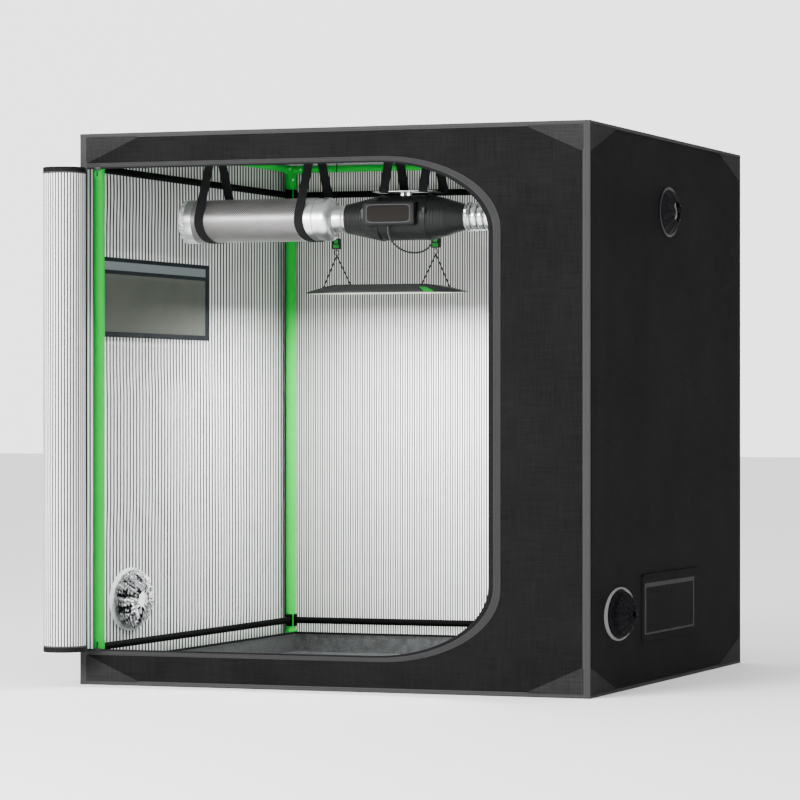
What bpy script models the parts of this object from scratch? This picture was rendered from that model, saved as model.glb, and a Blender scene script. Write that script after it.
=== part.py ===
"""Indoor grow tent with its door rolled open, in metres, +Z up.

The origin is the middle of the tent's footprint, on the floor. +X is to the right of someone who
faces the doorway, and +Y goes back into the tent. A steel frame of round poles in three-way corner
fittings holds a sewn box of lined cloth. A filter, a fan, a ribbed duct and a lamp hang inside
from two bars that hook over the side rails.
"""
import math

import bmesh
import bpy
from mathutils import Matrix, Vector

# Overall size of the sewn cover
tent_width = 1.975
tent_depth = 1.975
tent_height = 2.032

# Cloth, sewn edge tape and the fit between pieces
cloth = 0.002
tape = 0.0012
gap = 0.0003
tape_front_width = 0.027
tape_front_height = 0.0155
tape_side_width = 0.007
tape_side_height = 0.011
tape_roof_width = 0.012
overrun = 0.01
smooth_angle = math.radians(35)
patch_raise = 0.0006
patch_bite = 0.001

# Corner patches: length along the edge, then height, for each face
patch_front_long = 0.235
patch_front_tall = 0.1
patch_side_long = 0.33
patch_side_tall = 0.095

# Frame tubes
pole_radius = 0.0205
rail_radius = 0.0135
tube_wall = 0.0012
pole_inset = 0.053
round_sides = 12

# Three-way corner fittings
socket_wall = 0.0025
socket_reach = 0.075
socket_floor = 0.023
pole_seat = 0.017

# Brace bars that run from pole to pole
brace_radius = 0.0135
brace_upper_drop = 0.127
brace_lower_z = 0.136
saddle_wall = 0.003
saddle_height = 0.05
saddle_steps = 6
saddle_spread = math.radians(38)

# Hanging bars hooked over the side rails
bar_radius = 0.0125
hook_wall = 0.0022
hook_width = 0.03
hook_steps = 10
hook_inner_angle = math.radians(-50)
hook_outer_angle = math.radians(140)
filter_bar_y = -0.45
lamp_bar_y = -0.12

# Doorway in the front panel: the sewn band, the zip tape and the opening itself
band_right = 0.655
band_top_drop = 0.109
band_bottom_rise = 0.11
band_width = 0.028
band_height = 0.016
zip_width = 0.018
zip_height = 0.006
corner_run = 0.46
corner_rise = 0.268
corner_steps = 12
door_edge_left = 0.028
band_thick = 0.0012

# Zip sliders
slider_length = 0.026
slider_height = 0.011
slider_thick = 0.005
slider_pull_length = 0.03
slider_pull_width = 0.007
slider_pull_thick = 0.002
slider_park = 0.045

# Rolled door
roll_radius = 0.083
roll_core = 0.03
roll_turns = 4.5
roll_steps = 19
roll_cloth = 0.003
roll_end_inset = 0.016
roll_top_inset = 0.02
roll_side_out = 0.048
roll_front_out = 0.0907
hinge_inset = 0.0255
hinge_stand_off = 0.0018
strip_thick = 0.0015
bead_steps = 8

# Floor tray
tray_rim_height = 0.086
tray_hem_height = 0.009
tray_hem_thick = 0.003
tray_clear = 0.004

# Window in the left wall
window_front_y = -0.8
window_rear_y = 0.2
window_top_drop = 0.445
window_height = 0.3
window_border = 0.022
window_head = 0.046
window_thread_count = 8
window_row_count = 3
thread = 0.005
net_thick = 0.0015
flap_overlap = 0.03
flap_thick = 0.002
flap_hem = 0.008
flap_roll_radius = 0.004

# Vent in the right wall
vent_front_y = -0.334
vent_rear_y = 0.316
vent_bottom_z = 0.186
vent_height = 0.19
vent_border = 0.016
vent_thread_count = 7
vent_row_count = 2
vent_hinge_height = 0.018

# Cinched duct ports: half width along the wall and half height
upper_port_y = -0.017
upper_port_rise = 0.027
upper_port_half_width = 0.118
upper_port_half_height = 0.0865
lower_port_y = -0.635
lower_port_z = 0.28
lower_port_half_width = 0.125
lower_port_half_height = 0.083
left_port_y = -0.553
left_port_z = 0.294
left_port_half_width = 0.15
left_port_half_height = 0.11
collar_lip = 0.009
collar_thick = 0.004
sleeve_cloth = 0.002
sleeve_steps = 24
sleeve_pleat_count = 6
sleeve_start_share = 0.97
collar_inner_share = 0.94
sleeve_shrink = 0.023

# Gathered sleeves. Each row is reach share, size share, pleat share
upper_sleeve_reach = 0.035
upper_sleeve_shares = ((0.12, 0.95, 0.0), (0.5, 0.88, 0.02), (1.0, 0.72, 0.03))
lower_sleeve_reach = 0.06
lower_sleeve_shares = ((0.07, 0.96, 0.01), (0.45, 0.86, 0.05), (0.75, 0.6, 0.09), (0.92, 0.34, 0.12),
                       (1.0, 0.2, 0.15))
left_sleeve_reach = 0.085
left_sleeve_shares = ((0.05, 0.96, 0.01), (0.4, 0.93, 0.04), (0.75, 0.74, 0.07), (0.95, 0.42, 0.1),
                      (1.0, 0.18, 0.14))

# Round air filter, hung along the tent's width
filter_left_x = -0.8
filter_right_x = -0.226
filter_axis_drop = 0.304
filter_radius = 0.0825
filter_skin_radius = 0.0812
filter_wall = 0.0015
filter_band = 0.055
filter_groove = 0.027
filter_groove_radius = 0.0785
filter_sides = 22
cap_depth = 0.04
cap_wall = 0.0015
neck_radius = 0.051
neck_length = 0.062
neck_bead = 0.0015
end_ring_wall = 0.012

# Fan between the filter and the duct
fan_start_x = -0.134
cone_in_length = 0.13
fan_radius = 0.0835
fan_straight = 0.205
cone_out_length = 0.071
cone_mid_radius = 0.067
cone_end_length = 0.065
spigot_radius = 0.0535
spigot_length = 0.012
outlet_radius = 0.0475
shell_wall = 0.0025
fan_sides = 24
pod_radius = 0.034
pod_length = 0.07
vane_count = 5
vane_thick = 0.003
hub_radius = 0.03
hub_length = 0.055
hub_nose = 0.02
blade_count = 7
blade_thick = 0.002
blade_tip_clear = 0.002
blade_twist = math.radians(38)
blade_root_share = 0.7
blade_twist_shares = (0.6, 0.9, 1.2)
blade_chord_share = 0.42
nose_shares = ((0.7, 0.45), (0.0, 0.8))
hub_sides = 20
shaft_radius = 0.004
shaft_gap = 0.001
rib_raise = 0.002
rib_width = 0.008

# Bracket on top of the fan that its straps pass under
bracket_length = 0.24
bracket_half_width = 0.05
bracket_thick = 0.004
bracket_rise = 0.012
bracket_post = 0.012

# Control box on the front of the fan
box_left_x = -0.036
box_right_x = 0.17
box_below_axis = 0.033
box_above_axis = 0.058
box_front = 0.112
box_back = 0.03
box_bevel = 0.014
screen_margin = 0.013
screen_depth = 0.0025
gland_radius = 0.0055
gland_length = 0.008

# Lead from the control box to the fan
lead_radius = 0.0033
lead_left_x = 0.057
lead_right_x = 0.197
lead_drop = 0.061
lead_points = 22

# Straps
strap_width = 0.036
strap_thick = 0.0015
strap_skew_share = 0.44
strap_steps = 22
filter_strap_left_in = 0.126
filter_strap_right_in = 0.041
fan_strap_left_x = 0.05
fan_strap_right_x = 0.205

# Ribbed duct from the fan to the upper port
duct_radius = 0.053
duct_valley = 0.0495
duct_bore = 0.0455
duct_rib_count = 32
duct_straight = 0.11
duct_end_out = 0.012
duct_bore_points = 14
duct_bend_share = 0.55

# Lamp and its hangers
lamp_x = -0.1085
lamp_length = 0.637
lamp_flat_length = 0.36
lamp_depth = 0.2
lamp_tip_depth = 0.05
lamp_bottom_drop = 0.573
lamp_thick = 0.033
lamp_edge = 0.006
lamp_crown_shares = (1.05, 0.8)
lamp_crown_depth_shares = (0.33, 0.385)
lamp_pan = 0.003
hanger_spread = 0.203
foot_spread = 0.057
wire_radius = 0.0012
apex_rise = 0.147
ratchet_rise = 0.171
ratchet_height = 0.042
ratchet_width = 0.034
ratchet_depth = 0.016
rope_radius = 0.002
rope_loop_wall = 0.004

# Places that follow from the sizes above
half_width = tent_width / 2
half_depth = tent_depth / 2
skin_out = tape + gap
wall_x = half_width - skin_out
wall_y = half_depth - skin_out
roof_z = tent_height - skin_out
wall_low = tape + gap + cloth + gap
wall_high = roof_z - cloth - gap
inner_x = wall_x - cloth
inner_y = wall_y - cloth
floor_top = skin_out + cloth
pole_x = half_width - pole_inset
pole_y = half_depth - pole_inset
pole_socket = pole_radius + gap + socket_wall
rail_socket = rail_radius + gap + socket_wall
top_rail_z = roof_z - cloth - gap - rail_socket
bottom_rail_z = floor_top + gap + rail_socket
front_y = -half_depth + skin_out
brace_upper_z = tent_height - brace_upper_drop
band_top = tent_height - band_top_drop
hinge_x = -half_width + hinge_inset
hinge_y = -half_depth - hinge_stand_off
roll_centre_x = hinge_x - roll_side_out
roll_centre_y = hinge_y - roll_front_out
roll_bottom_z = band_bottom_rise + roll_end_inset
roll_top_z = band_top - roll_top_inset
window_top_z = tent_height - window_top_drop
window_bottom_z = window_top_z - window_height
vent_top_z = vent_bottom_z + vent_height
filter_axis_z = tent_height - filter_axis_drop
upper_port_z = filter_axis_z + upper_port_rise
box_bottom_z = filter_axis_z - box_below_axis
box_top_z = filter_axis_z + box_above_axis
lamp_bottom_z = tent_height - lamp_bottom_drop
tray_half_x = pole_x - pole_socket - tray_clear
tray_half_y = pole_y - pole_socket - tray_clear

AXES = {
    "X": Matrix(((0, 0, 1), (1, 0, 0), (0, 1, 0))).to_4x4(),
    "Y": Matrix(((0, 1, 0), (0, 0, 1), (1, 0, 0))).to_4x4(),
    "Z": Matrix.Identity(4),
}


def clear_scene():
    for item in list(bpy.data.objects):
        bpy.data.objects.remove(item, do_unlink=True)


def finish_material(name, colour, roughness, metallic=0.0):
    """One Principled material, made once for each finish."""
    if name in bpy.data.materials:
        return bpy.data.materials[name]
    made = bpy.data.materials.new(name)
    made.use_nodes = True
    shader = made.node_tree.nodes["Principled BSDF"]
    shader.inputs["Base Color"].default_value = (*colour, 1)
    shader.inputs["Roughness"].default_value = roughness
    shader.inputs["Metallic"].default_value = metallic
    made.diffuse_color = (*colour, 1)
    return made


FINISHES = {
    "green enamel": ((0.01, 0.56, 0.08), 0.35, 0.0),
    "black enamel": ((0.01, 0.01, 0.012), 0.4, 0.0),
    "black oxford cloth": ((0.02, 0.02, 0.022), 0.85, 0.0),
    "grey edge tape": ((0.13, 0.13, 0.14), 0.8, 0.0),
    "white foil lining": ((0.78, 0.79, 0.8), 0.3, 0.2),
    "silver foil": ((0.7, 0.7, 0.72), 0.25, 0.9),
    "black webbing": ((0.012, 0.012, 0.014), 0.8, 0.0),
    "black zip": ((0.015, 0.014, 0.017), 0.6, 0.0),
    "insect screen": ((0.1, 0.1, 0.1), 0.7, 0.0),
    "tray cloth": ((0.3, 0.31, 0.31), 0.5, 0.1),
    "galvanised steel": ((0.55, 0.56, 0.56), 0.4, 0.8),
    "polished steel": ((0.8, 0.81, 0.82), 0.15, 1.0),
    "black plastic": ((0.018, 0.019, 0.02), 0.35, 0.0),
    "lamp shell": ((0.08, 0.085, 0.085), 0.4, 0.5),
    "steel wire": ((0.3, 0.3, 0.3), 0.3, 1.0),
}


def dress(item, finish):
    colour, roughness, metallic = FINISHES[finish]
    item.data.materials.clear()
    item.data.materials.append(finish_material(finish, colour, roughness, metallic))


def place_mesh(name, form, finish, location=(0, 0, 0), parent=None):
    """Put a bmesh into the scene as one named object with outward faces."""
    form.normal_update()
    bmesh.ops.recalc_face_normals(form, faces=form.faces)
    if form.calc_volume(signed=True) < 0:
        bmesh.ops.reverse_faces(form, faces=form.faces)
    mesh = bpy.data.meshes.new(name)
    form.to_mesh(mesh)
    form.free()
    item = bpy.data.objects.new(name, mesh)
    bpy.context.scene.collection.objects.link(item)
    item.location = location
    if parent is not None:
        item.parent = parent
    if finish:
        dress(item, finish)
    return item


def joint_empty(name, location):
    """An empty that stands on a joint's axis and carries what moves."""
    holder = bpy.data.objects.new(name, None)
    holder.location = location
    bpy.context.scene.collection.objects.link(holder)
    return holder


def round_shading(item):
    item.data.shade_smooth()
    item.data.set_sharp_from_angle(angle=smooth_angle)
    return item


def boolean(item, other, operation):
    """Join or cut with another object, which stays as a wire guide."""
    change = item.modifiers.new(operation.lower(), "BOOLEAN")
    change.operation = operation
    change.solver = "EXACT"
    change.object = other
    other.hide_render = True
    other.display_type = "WIRE"
    return item


def cut(item, *cutters):
    for cutter in cutters:
        boolean(item, cutter, "DIFFERENCE")
    return item


def join(item, *others):
    for other in others:
        boolean(item, other, "UNION")
    return item


def box_form(low, high):
    form = bmesh.new()
    size = Vector(high) - Vector(low)
    middle = (Vector(high) + Vector(low)) / 2
    matrix = Matrix.Translation(middle) @ Matrix.Diagonal((*size, 1))
    bmesh.ops.create_cube(form, size=1, matrix=matrix)
    return form


def box(name, low, high, finish=None):
    return place_mesh(name, box_form(low, high), finish)


def turned_form(profile, axis="Z", centre=(0, 0, 0), steps=round_sides, closed=True):
    """Spin a profile of (along, radius) points round an axis, with a flat facing each way."""
    form = bmesh.new()
    points = [form.verts.new((radius, 0, along)) for along, radius in profile]
    count = len(points)
    edges = [form.edges.new((points[i], points[(i + 1) % count]))
             for i in range(count if closed else count - 1)]
    bmesh.ops.spin(form, geom=points + edges, cent=(0, 0, 0), axis=(0, 0, 1),
                   angle=math.tau, steps=steps, use_merge=True)
    bmesh.ops.remove_doubles(form, verts=form.verts, dist=gap / 100)
    form.transform(Matrix.Translation(centre) @ AXES[axis] @ Matrix.Rotation(math.pi / steps, 4, "Z"))
    return form


def turned(name, profile, finish=None, axis="Z", centre=(0, 0, 0), steps=round_sides, closed=True):
    return place_mesh(name, turned_form(profile, axis, centre, steps, closed), finish)


def tube_profile(low, high, outer, inner):
    return [(low, outer), (high, outer), (high, inner), (low, inner)]


def rod(name, low, high, radius, axis, centre, finish=None, steps=round_sides):
    """A solid round bar from low to high along an axis."""
    profile = [(low, 0), (low, radius), (high, radius), (high, 0)]
    return turned(name, profile, finish, axis, centre, steps, closed=False)


def slab_form(outline, axis, low, high):
    """Extrude a closed outline, drawn across an axis, from low to high along it."""
    form = bmesh.new()
    base = form.faces.new([form.verts.new((a, b, low)) for a, b in outline])
    pushed = bmesh.ops.extrude_face_region(form, geom=[base])
    top = [part for part in pushed["geom"] if isinstance(part, bmesh.types.BMVert)]
    bmesh.ops.translate(form, verts=top, vec=(0, 0, high - low))
    form.transform(AXES[axis])
    return form


def slab(name, outline, axis, low, high, finish=None):
    return place_mesh(name, slab_form(outline, axis, low, high), finish)


def arc(centre, radius, start, end, steps):
    return [(centre[0] + radius * math.cos(start + (end - start) * i / steps),
             centre[1] + radius * math.sin(start + (end - start) * i / steps))
            for i in range(steps + 1)]


def sector(centre, inner, outer, start, end, steps):
    """Outline of a part of a ring."""
    return arc(centre, outer, start, end, steps) + arc(centre, inner, end, start, steps)


# Frame

def make_poles():
    """Four upright poles, seated in the top and bottom fittings."""
    low = bottom_rail_z + pole_seat + gap
    high = top_rail_z - pole_seat - gap
    profile = tube_profile(low, high, pole_radius, pole_radius - tube_wall)
    for side, x in (("left", -pole_x), ("right", pole_x)):
        for end, y in (("front", -pole_y), ("rear", pole_y)):
            name = f"pole_{end}_{side}"
            round_shading(turned(name, profile, "green enamel", centre=(x, y, 0)))


def rail_profile(half):
    reach = half - socket_floor - gap
    return tube_profile(-reach, reach, rail_radius, rail_radius - tube_wall)


def make_rails():
    """Top rails all round, and the two bottom side rails."""
    for side, x in (("left", -pole_x), ("right", pole_x)):
        for level, z in (("top", top_rail_z), ("bottom", bottom_rail_z)):
            round_shading(turned(f"{level}_rail_{side}", rail_profile(pole_y), "green enamel",
                                 axis="Y", centre=(x, 0, z)))
    for end, y in (("front", -pole_y), ("rear", pole_y)):
        round_shading(turned(f"top_rail_{end}", rail_profile(pole_x), "green enamel",
                             axis="X", centre=(0, y, top_rail_z)))


def socket_span(direction, start, end):
    """Order two distances along an axis so that they run upwards."""
    return sorted((direction * start, direction * end))


def fitting_sockets(name, place, toward, solid):
    """The three round bodies or the three bores of a corner fitting."""
    x_way, y_way, z_way = toward
    pole_size = pole_socket if solid else pole_radius + gap
    rail_size = rail_socket if solid else rail_radius + gap
    end = socket_reach if solid else socket_reach + overrun
    pole_start = socket_wall / 2 - rail_socket if solid else pole_seat
    rail_start = socket_floor / 3 if solid else socket_floor
    other_size = rail_size - socket_wall / 8 if solid else rail_size + gap
    upright = rod(f"{name}_upright", *socket_span(z_way, pole_start, end), pole_size, "Z", place)
    across = rod(f"{name}_across", *socket_span(x_way, rail_start, end), rail_size, "X", place)
    along = rod(f"{name}_along", *socket_span(y_way, rail_start, end), other_size, "Y", place)
    return upright, across, along


def make_top_fittings():
    """Three-way fittings at the four top corners."""
    for side, x_sign in (("left", -1), ("right", 1)):
        for end, y_sign in (("front", -1), ("rear", 1)):
            place = (x_sign * pole_x, y_sign * pole_y, top_rail_z)
            toward = (-x_sign, -y_sign, -1)
            name = f"corner_fitting_{end}_{side}"
            upright, across, along = fitting_sockets(name, place, toward, True)
            upright.name = name
            dress(upright, "green enamel")
            join(upright, across, along)
            cut(upright, *fitting_sockets(f"{name}_bore", place, toward, False))
            round_shading(upright)


def make_bottom_ends():
    """Front and rear bottom rails, each welded to its two corner fittings."""
    root = pole_x - socket_floor / 3
    mouth = pole_x - socket_reach
    profile = [(-root, 0), (-root, rail_socket), (-mouth, rail_socket), (-mouth, rail_radius),
               (mouth, rail_radius), (mouth, rail_socket), (root, rail_socket), (root, 0)]
    for end, y_sign in (("front", -1), ("rear", 1)):
        centre = (0, y_sign * pole_y, bottom_rail_z)
        rail = turned(f"bottom_rail_{end}", profile, "green enamel", "X", centre, closed=False)
        bores = []
        for side, x_sign in (("left", -1), ("right", 1)):
            place = (x_sign * pole_x, y_sign * pole_y, bottom_rail_z)
            toward = (-x_sign, -y_sign, 1)
            upright, across, along = fitting_sockets(f"bottom_{end}_{side}", place, toward, True)
            join(rail, upright, along)
            pole_bore, cross_bore, side_bore = fitting_sockets(f"bottom_{end}_{side}_bore", place,
                                                               toward, False)
            for spare in (across, cross_bore):
                bpy.data.objects.remove(spare)
            bores += [pole_bore, side_bore]
        cut(rail, *bores)
        round_shading(rail)


def saddle(name, pole, facing, z):
    """A curved plate that hugs a pole on the side that faces along an angle."""
    inner = pole_radius + gap
    outline = sector(pole, inner, inner + saddle_wall, facing - saddle_spread, facing + saddle_spread,
                     saddle_steps)
    return slab(name, outline, "Z", z - saddle_height / 2, z + saddle_height / 2)


def make_braces():
    """Black bars between the poles, near the roof and near the floor."""
    inner = pole_radius + gap
    start = inner + saddle_wall / 2
    for level, z in (("upper", brace_upper_z), ("lower", brace_lower_z)):
        for side, x in (("left", -pole_x), ("right", pole_x)):
            name = f"{level}_brace_{side}"
            bar = rod(name, start - pole_y, pole_y - start, brace_radius, "Y", (x, 0, z), "black enamel")
            join(bar, saddle(f"{name}_front", (x, -pole_y), math.pi / 2, z),
                 saddle(f"{name}_rear", (x, pole_y), -math.pi / 2, z))
            cut(bar, rod(f"{name}_hollow", -pole_y, pole_y, brace_radius - tube_wall, "Y", (x, 0, z)))
            round_shading(bar)
        name = f"{level}_brace_rear"
        bar = rod(name, start - pole_x, pole_x - start, brace_radius, "X", (0, pole_y, z), "black enamel")
        join(bar, saddle(f"{name}_left", (-pole_x, pole_y), 0, z),
             saddle(f"{name}_right", (pole_x, pole_y), math.pi, z))
        cut(bar, rod(f"{name}_hollow", -pole_x, pole_x, brace_radius - tube_wall, "X", (0, pole_y, z)))
        round_shading(bar)


def make_hanging_bar(name, y, parent=None):
    """A bar with a hook at each end that sits over a side rail."""
    inner = rail_radius + gap
    middle = inner + hook_wall / 2
    bar = rod(name, middle - pole_x, pole_x - middle, bar_radius, "X", (0, y, top_rail_z), "black enamel")
    hooks = []
    for sign in (-1, 1):
        drawn = sector((0, 0), inner, inner + hook_wall, hook_inner_angle, hook_outer_angle, hook_steps)
        outline = [(top_rail_z + up, sign * (pole_x - across)) for across, up in drawn]
        hooks.append(slab(f"{name}_hook_{sign}", outline, "Y", y - hook_width / 2, y + hook_width / 2))
    join(bar, *hooks)
    hollow = rod(f"{name}_hollow", -pole_x, pole_x, bar_radius - tube_wall, "X", (0, y, top_rail_z))
    cut(bar, hollow)
    round_shading(bar)
    if parent is not None:
        for item in [bar, hollow, *hooks]:
            item.parent = parent
            item.location = -parent.location
    return bar


# Cover

def corner_patches(name, half_long, low, high, long, tall, axis, outside, sign):
    """Four triangles of doubled cloth, raised from the face of a wall."""
    guides = []
    for way in (-1, 1):
        for level, up in ((low, 1), (high, -1)):
            corner = (way * half_long, level)
            points = [corner, (corner[0] - way * long, level), (corner[0], level + up * tall)]
            outline = points if axis == "X" else [(z, x) for x, z in points]
            start, end = sorted((outside - sign * patch_bite, outside + sign * patch_raise))
            guides.append(slab(f"{name}_patch_{way}_{up}", outline, axis, start, end))
    return guides


def side_patches(name, sign):
    return corner_patches(name, half_depth - tape_side_width - gap, tape_side_height + gap,
                          tent_height - tape_side_height - gap, patch_side_long, patch_side_tall,
                          "X", sign * wall_x, sign)


def end_patches(name, sign):
    return corner_patches(name, half_width - tape_front_width - gap, tape_front_height + gap,
                          tent_height - tape_front_height - gap, patch_front_long, patch_front_tall,
                          "Y", sign * wall_y, sign)


def oval(name, along_x, y, z, half_w, half_h, low, high):
    """A plug with an oval section, used to cut a port through a side wall."""
    outline = [(y + half_w * math.cos(math.tau * i / sleeve_steps),
                z + half_h * math.sin(math.tau * i / sleeve_steps)) for i in range(sleeve_steps)]
    return slab(name, outline, "X", along_x + low, along_x + high)


def make_side_walls():
    """Left wall with a window and a port, right wall with a vent and two ports."""
    low = (-wall_x, -inner_y + gap, wall_low)
    high = (-inner_x, inner_y - gap, wall_high)
    left = box("left_wall", low, high, "black oxford cloth")
    join(left, *side_patches("left_wall", -1))
    window = box("left_window_hole", (-half_width - overrun, window_front_y, window_bottom_z),
                 (-inner_x + overrun, window_rear_y, window_top_z))
    port = oval("left_port_hole", -half_width, left_port_y, left_port_z, left_port_half_width,
                left_port_half_height, -overrun, overrun)
    cut(left, window, port)
    right = box("right_wall", (inner_x, low[1], low[2]), (wall_x, high[1], high[2]), "black oxford cloth")
    join(right, *side_patches("right_wall", 1))
    vent = box("right_vent_hole", (inner_x - overrun, vent_front_y, vent_bottom_z),
               (half_width + overrun, vent_rear_y, vent_top_z))
    upper = oval("upper_port_hole", half_width, upper_port_y, upper_port_z, upper_port_half_width,
                 upper_port_half_height, -overrun, overrun)
    lower = oval("lower_port_hole", half_width, lower_port_y, lower_port_z, lower_port_half_width,
                 lower_port_half_height, -overrun, overrun)
    cut(right, vent, upper, lower)


def make_flat_panels():
    """Roof, floor and rear wall."""
    box("roof_panel", (-wall_x, -wall_y, roof_z - cloth), (wall_x, wall_y, roof_z), "black oxford cloth")
    floor = box("floor_panel", (-wall_x, -wall_y, skin_out), (wall_x, wall_y, floor_top),
                "black oxford cloth")
    sole_x = half_width - tape_roof_width - gap
    sole_y = half_depth - tape_roof_width - gap
    join(floor, box("floor_sole", (-sole_x, -sole_y, 0), (sole_x, sole_y, skin_out + cloth / 2)))
    rear = box("rear_wall", (-wall_x, inner_y, wall_low), (wall_x, wall_y, wall_high), "black oxford cloth")
    join(rear, *end_patches("rear_wall", 1))


def doorway_outline(right, top, bottom, run, rise):
    """The doorway's edge from its lower left end, round both corners, to its upper left end."""
    left = -half_width + door_edge_left
    lower = [(right - run + run * math.sin(math.pi / 2 * i / corner_steps),
              bottom + rise - rise * math.cos(math.pi / 2 * i / corner_steps))
             for i in range(corner_steps + 1)]
    upper = [(x, top + bottom - z) for x, z in reversed(lower)]
    return [(left, bottom)] + lower + upper + [(left, top)]


def doorway_lines():
    """Three nested edges: outside of the band, inside of the band, and the opening."""
    outer = doorway_outline(band_right, band_top, band_bottom_rise, corner_run, corner_rise)
    inner = doorway_outline(band_right - band_width, band_top - band_height, band_bottom_rise + band_height,
                            corner_run - band_width / 2, corner_rise - band_height / 2)
    opening_in = band_width + zip_width
    opening_up = band_height + zip_height
    opening = doorway_outline(band_right - opening_in, band_top - opening_up, band_bottom_rise + opening_up,
                              corner_run - opening_in / 2, corner_rise - opening_up / 2)
    return outer, inner, opening


def make_front_panel():
    """Front wall: a full sheet with the doorway cut out of it."""
    outer, inner, opening = doorway_lines()
    panel = box("front_panel", (-wall_x, -wall_y, wall_low), (wall_x, -inner_y, wall_high),
                "black oxford cloth")
    join(panel, *end_patches("front_panel", -1))
    outline = [(z, x) for x, z in opening]
    cut(panel, slab("doorway_hole", outline, "Y", -half_depth - overrun, -inner_y + overrun))
    front = front_y - patch_raise - gap
    band_outline = outer + list(reversed(inner))
    band = slab("door_edge_band", [(z, x) for x, z in band_outline], "Y", front - band_thick, front,
                "grey edge tape")
    zip_outline = [(z, x) for x, z in inner + list(reversed(opening))]
    join(band, slab("door_zip_tape", zip_outline, "Y", front - band_thick / 2, front))


def make_edge_tape():
    """Sewn tape along all twelve edges of the cover, as one frame of thin angles."""
    frame = box("edge_tape", (-half_width, -half_depth, 0), (half_width, half_depth, tent_height),
                "grey edge tape")
    inside = box("tape_inside", (tape - half_width, tape - half_depth, tape),
                 (half_width - tape, half_depth - tape, tent_height - tape))
    through_y = box("tape_front_window",
                    (tape_front_width - half_width, -half_depth - overrun, tape_front_height),
                    (half_width - tape_front_width, half_depth + overrun, tent_height - tape_front_height))
    through_x = box("tape_side_window",
                    (-half_width - overrun, tape_side_width - half_depth, tape_side_height),
                    (half_width + overrun, half_depth - tape_side_width, tent_height - tape_side_height))
    through_z = box("tape_roof_window",
                    (tape_roof_width - half_width, tape_roof_width - half_depth, -overrun),
                    (half_width - tape_roof_width, half_depth - tape_roof_width, tent_height + overrun))
    cut(frame, inside, through_y, through_x, through_z)


def make_sliders():
    """Two zip sliders, parked at the hinge end of the top and bottom runs of the zip."""
    lines = doorway_lines()[2]
    levels = (("upper", lines[-1][1] + zip_height / 2, -1), ("lower", lines[0][1] - zip_height / 2, 1))
    back = front_y - patch_raise - gap - band_thick - gap
    x = -half_width + door_edge_left + slider_park
    for level, z, way in levels:
        holder = joint_empty(f"zip_{level}_run", (x, back, z))
        form = box_form((-slider_length / 2, -slider_thick, -slider_height / 2),
                        (slider_length / 2, 0, slider_height / 2))
        body = place_mesh(f"zip_slider_{level}", form, "black zip", parent=holder)
        bevel = body.modifiers.new("bevel", "BEVEL")
        bevel.width = slider_thick / 5
        bevel.segments = 1
        low, high = sorted((0, way * slider_pull_length))
        pull = place_mesh(f"zip_pull_{level}",
                          box_form((-slider_pull_width / 2, -slider_thick - slider_pull_thick, low),
                                   (slider_pull_width / 2, -slider_thick / 2, high)), None, parent=holder)
        join(body, pull)


def make_door():
    """The door panel, rolled into a loose spiral and hung on a sewn strip at the corner."""
    hinge = joint_empty("door_hinge", (hinge_x, hinge_y, 0))
    centre = (roll_centre_x - hinge_x, roll_centre_y - hinge_y)
    toward_hinge = math.atan2(-centre[1], -centre[0])
    total = round(roll_turns * roll_steps)
    outer, inner = [], []
    for i in range(total + 1):
        share = i / total
        angle = toward_hinge - math.tau * roll_turns * (1 - share)
        radius = roll_core + (roll_radius - roll_core) * share
        outer.append((centre[0] + radius * math.cos(angle), centre[1] + radius * math.sin(angle)))
        inner.append((centre[0] + (radius - roll_cloth) * math.cos(angle),
                      centre[1] + (radius - roll_cloth) * math.sin(angle)))
    form = slab_form(outer + list(reversed(inner)), "Z", roll_bottom_z, roll_top_z)
    round_shading(place_mesh("door_roll", form, "white foil lining", parent=hinge))
    reach = math.hypot(*centre) - roll_radius - gap
    along = Vector((centre[0], centre[1])).normalized()
    across = Vector((-along.y, along.x)) * strip_thick / 2
    far = along * reach
    bead = hinge_stand_off - gap
    lean = math.atan2(along.y, along.x)
    side = math.asin(strip_thick / 2 / bead)
    outline = arc((0, 0), bead, lean + side, lean + math.tau - side, bead_steps)
    outline += [tuple(far - across), tuple(far + across)]
    form = slab_form(outline, "Z", roll_bottom_z, roll_top_z)
    place_mesh("door_hinge_strip", form, "grey edge tape", parent=hinge)


def make_tray():
    """Waterproof floor tray: a flat base, four upright sides and a thicker hem."""
    low = floor_top + gap
    tray = box("floor_tray", (-tray_half_x, -tray_half_y, low),
               (tray_half_x, tray_half_y, low + tray_rim_height), "tray cloth")
    hem_low = low + tray_rim_height - tray_hem_height
    hem = box("tray_hem", (-tray_half_x - cloth / 2, -tray_half_y - cloth / 2, hem_low),
              (tray_half_x + cloth / 2, tray_half_y + cloth / 2, low + tray_rim_height))
    join(tray, hem)
    inner_hem = box("tray_upper_room",
                    (tray_hem_thick - tray_half_x, tray_hem_thick - tray_half_y, hem_low - overrun),
                    (tray_half_x - tray_hem_thick, tray_half_y - tray_hem_thick,
                     low + tray_rim_height + overrun))
    room = box("tray_room", (cloth - tray_half_x, cloth - tray_half_y, low + cloth),
               (tray_half_x - cloth, tray_half_y - cloth, hem_low))
    cut(tray, inner_hem, room)


# Window, vent and ports

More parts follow.
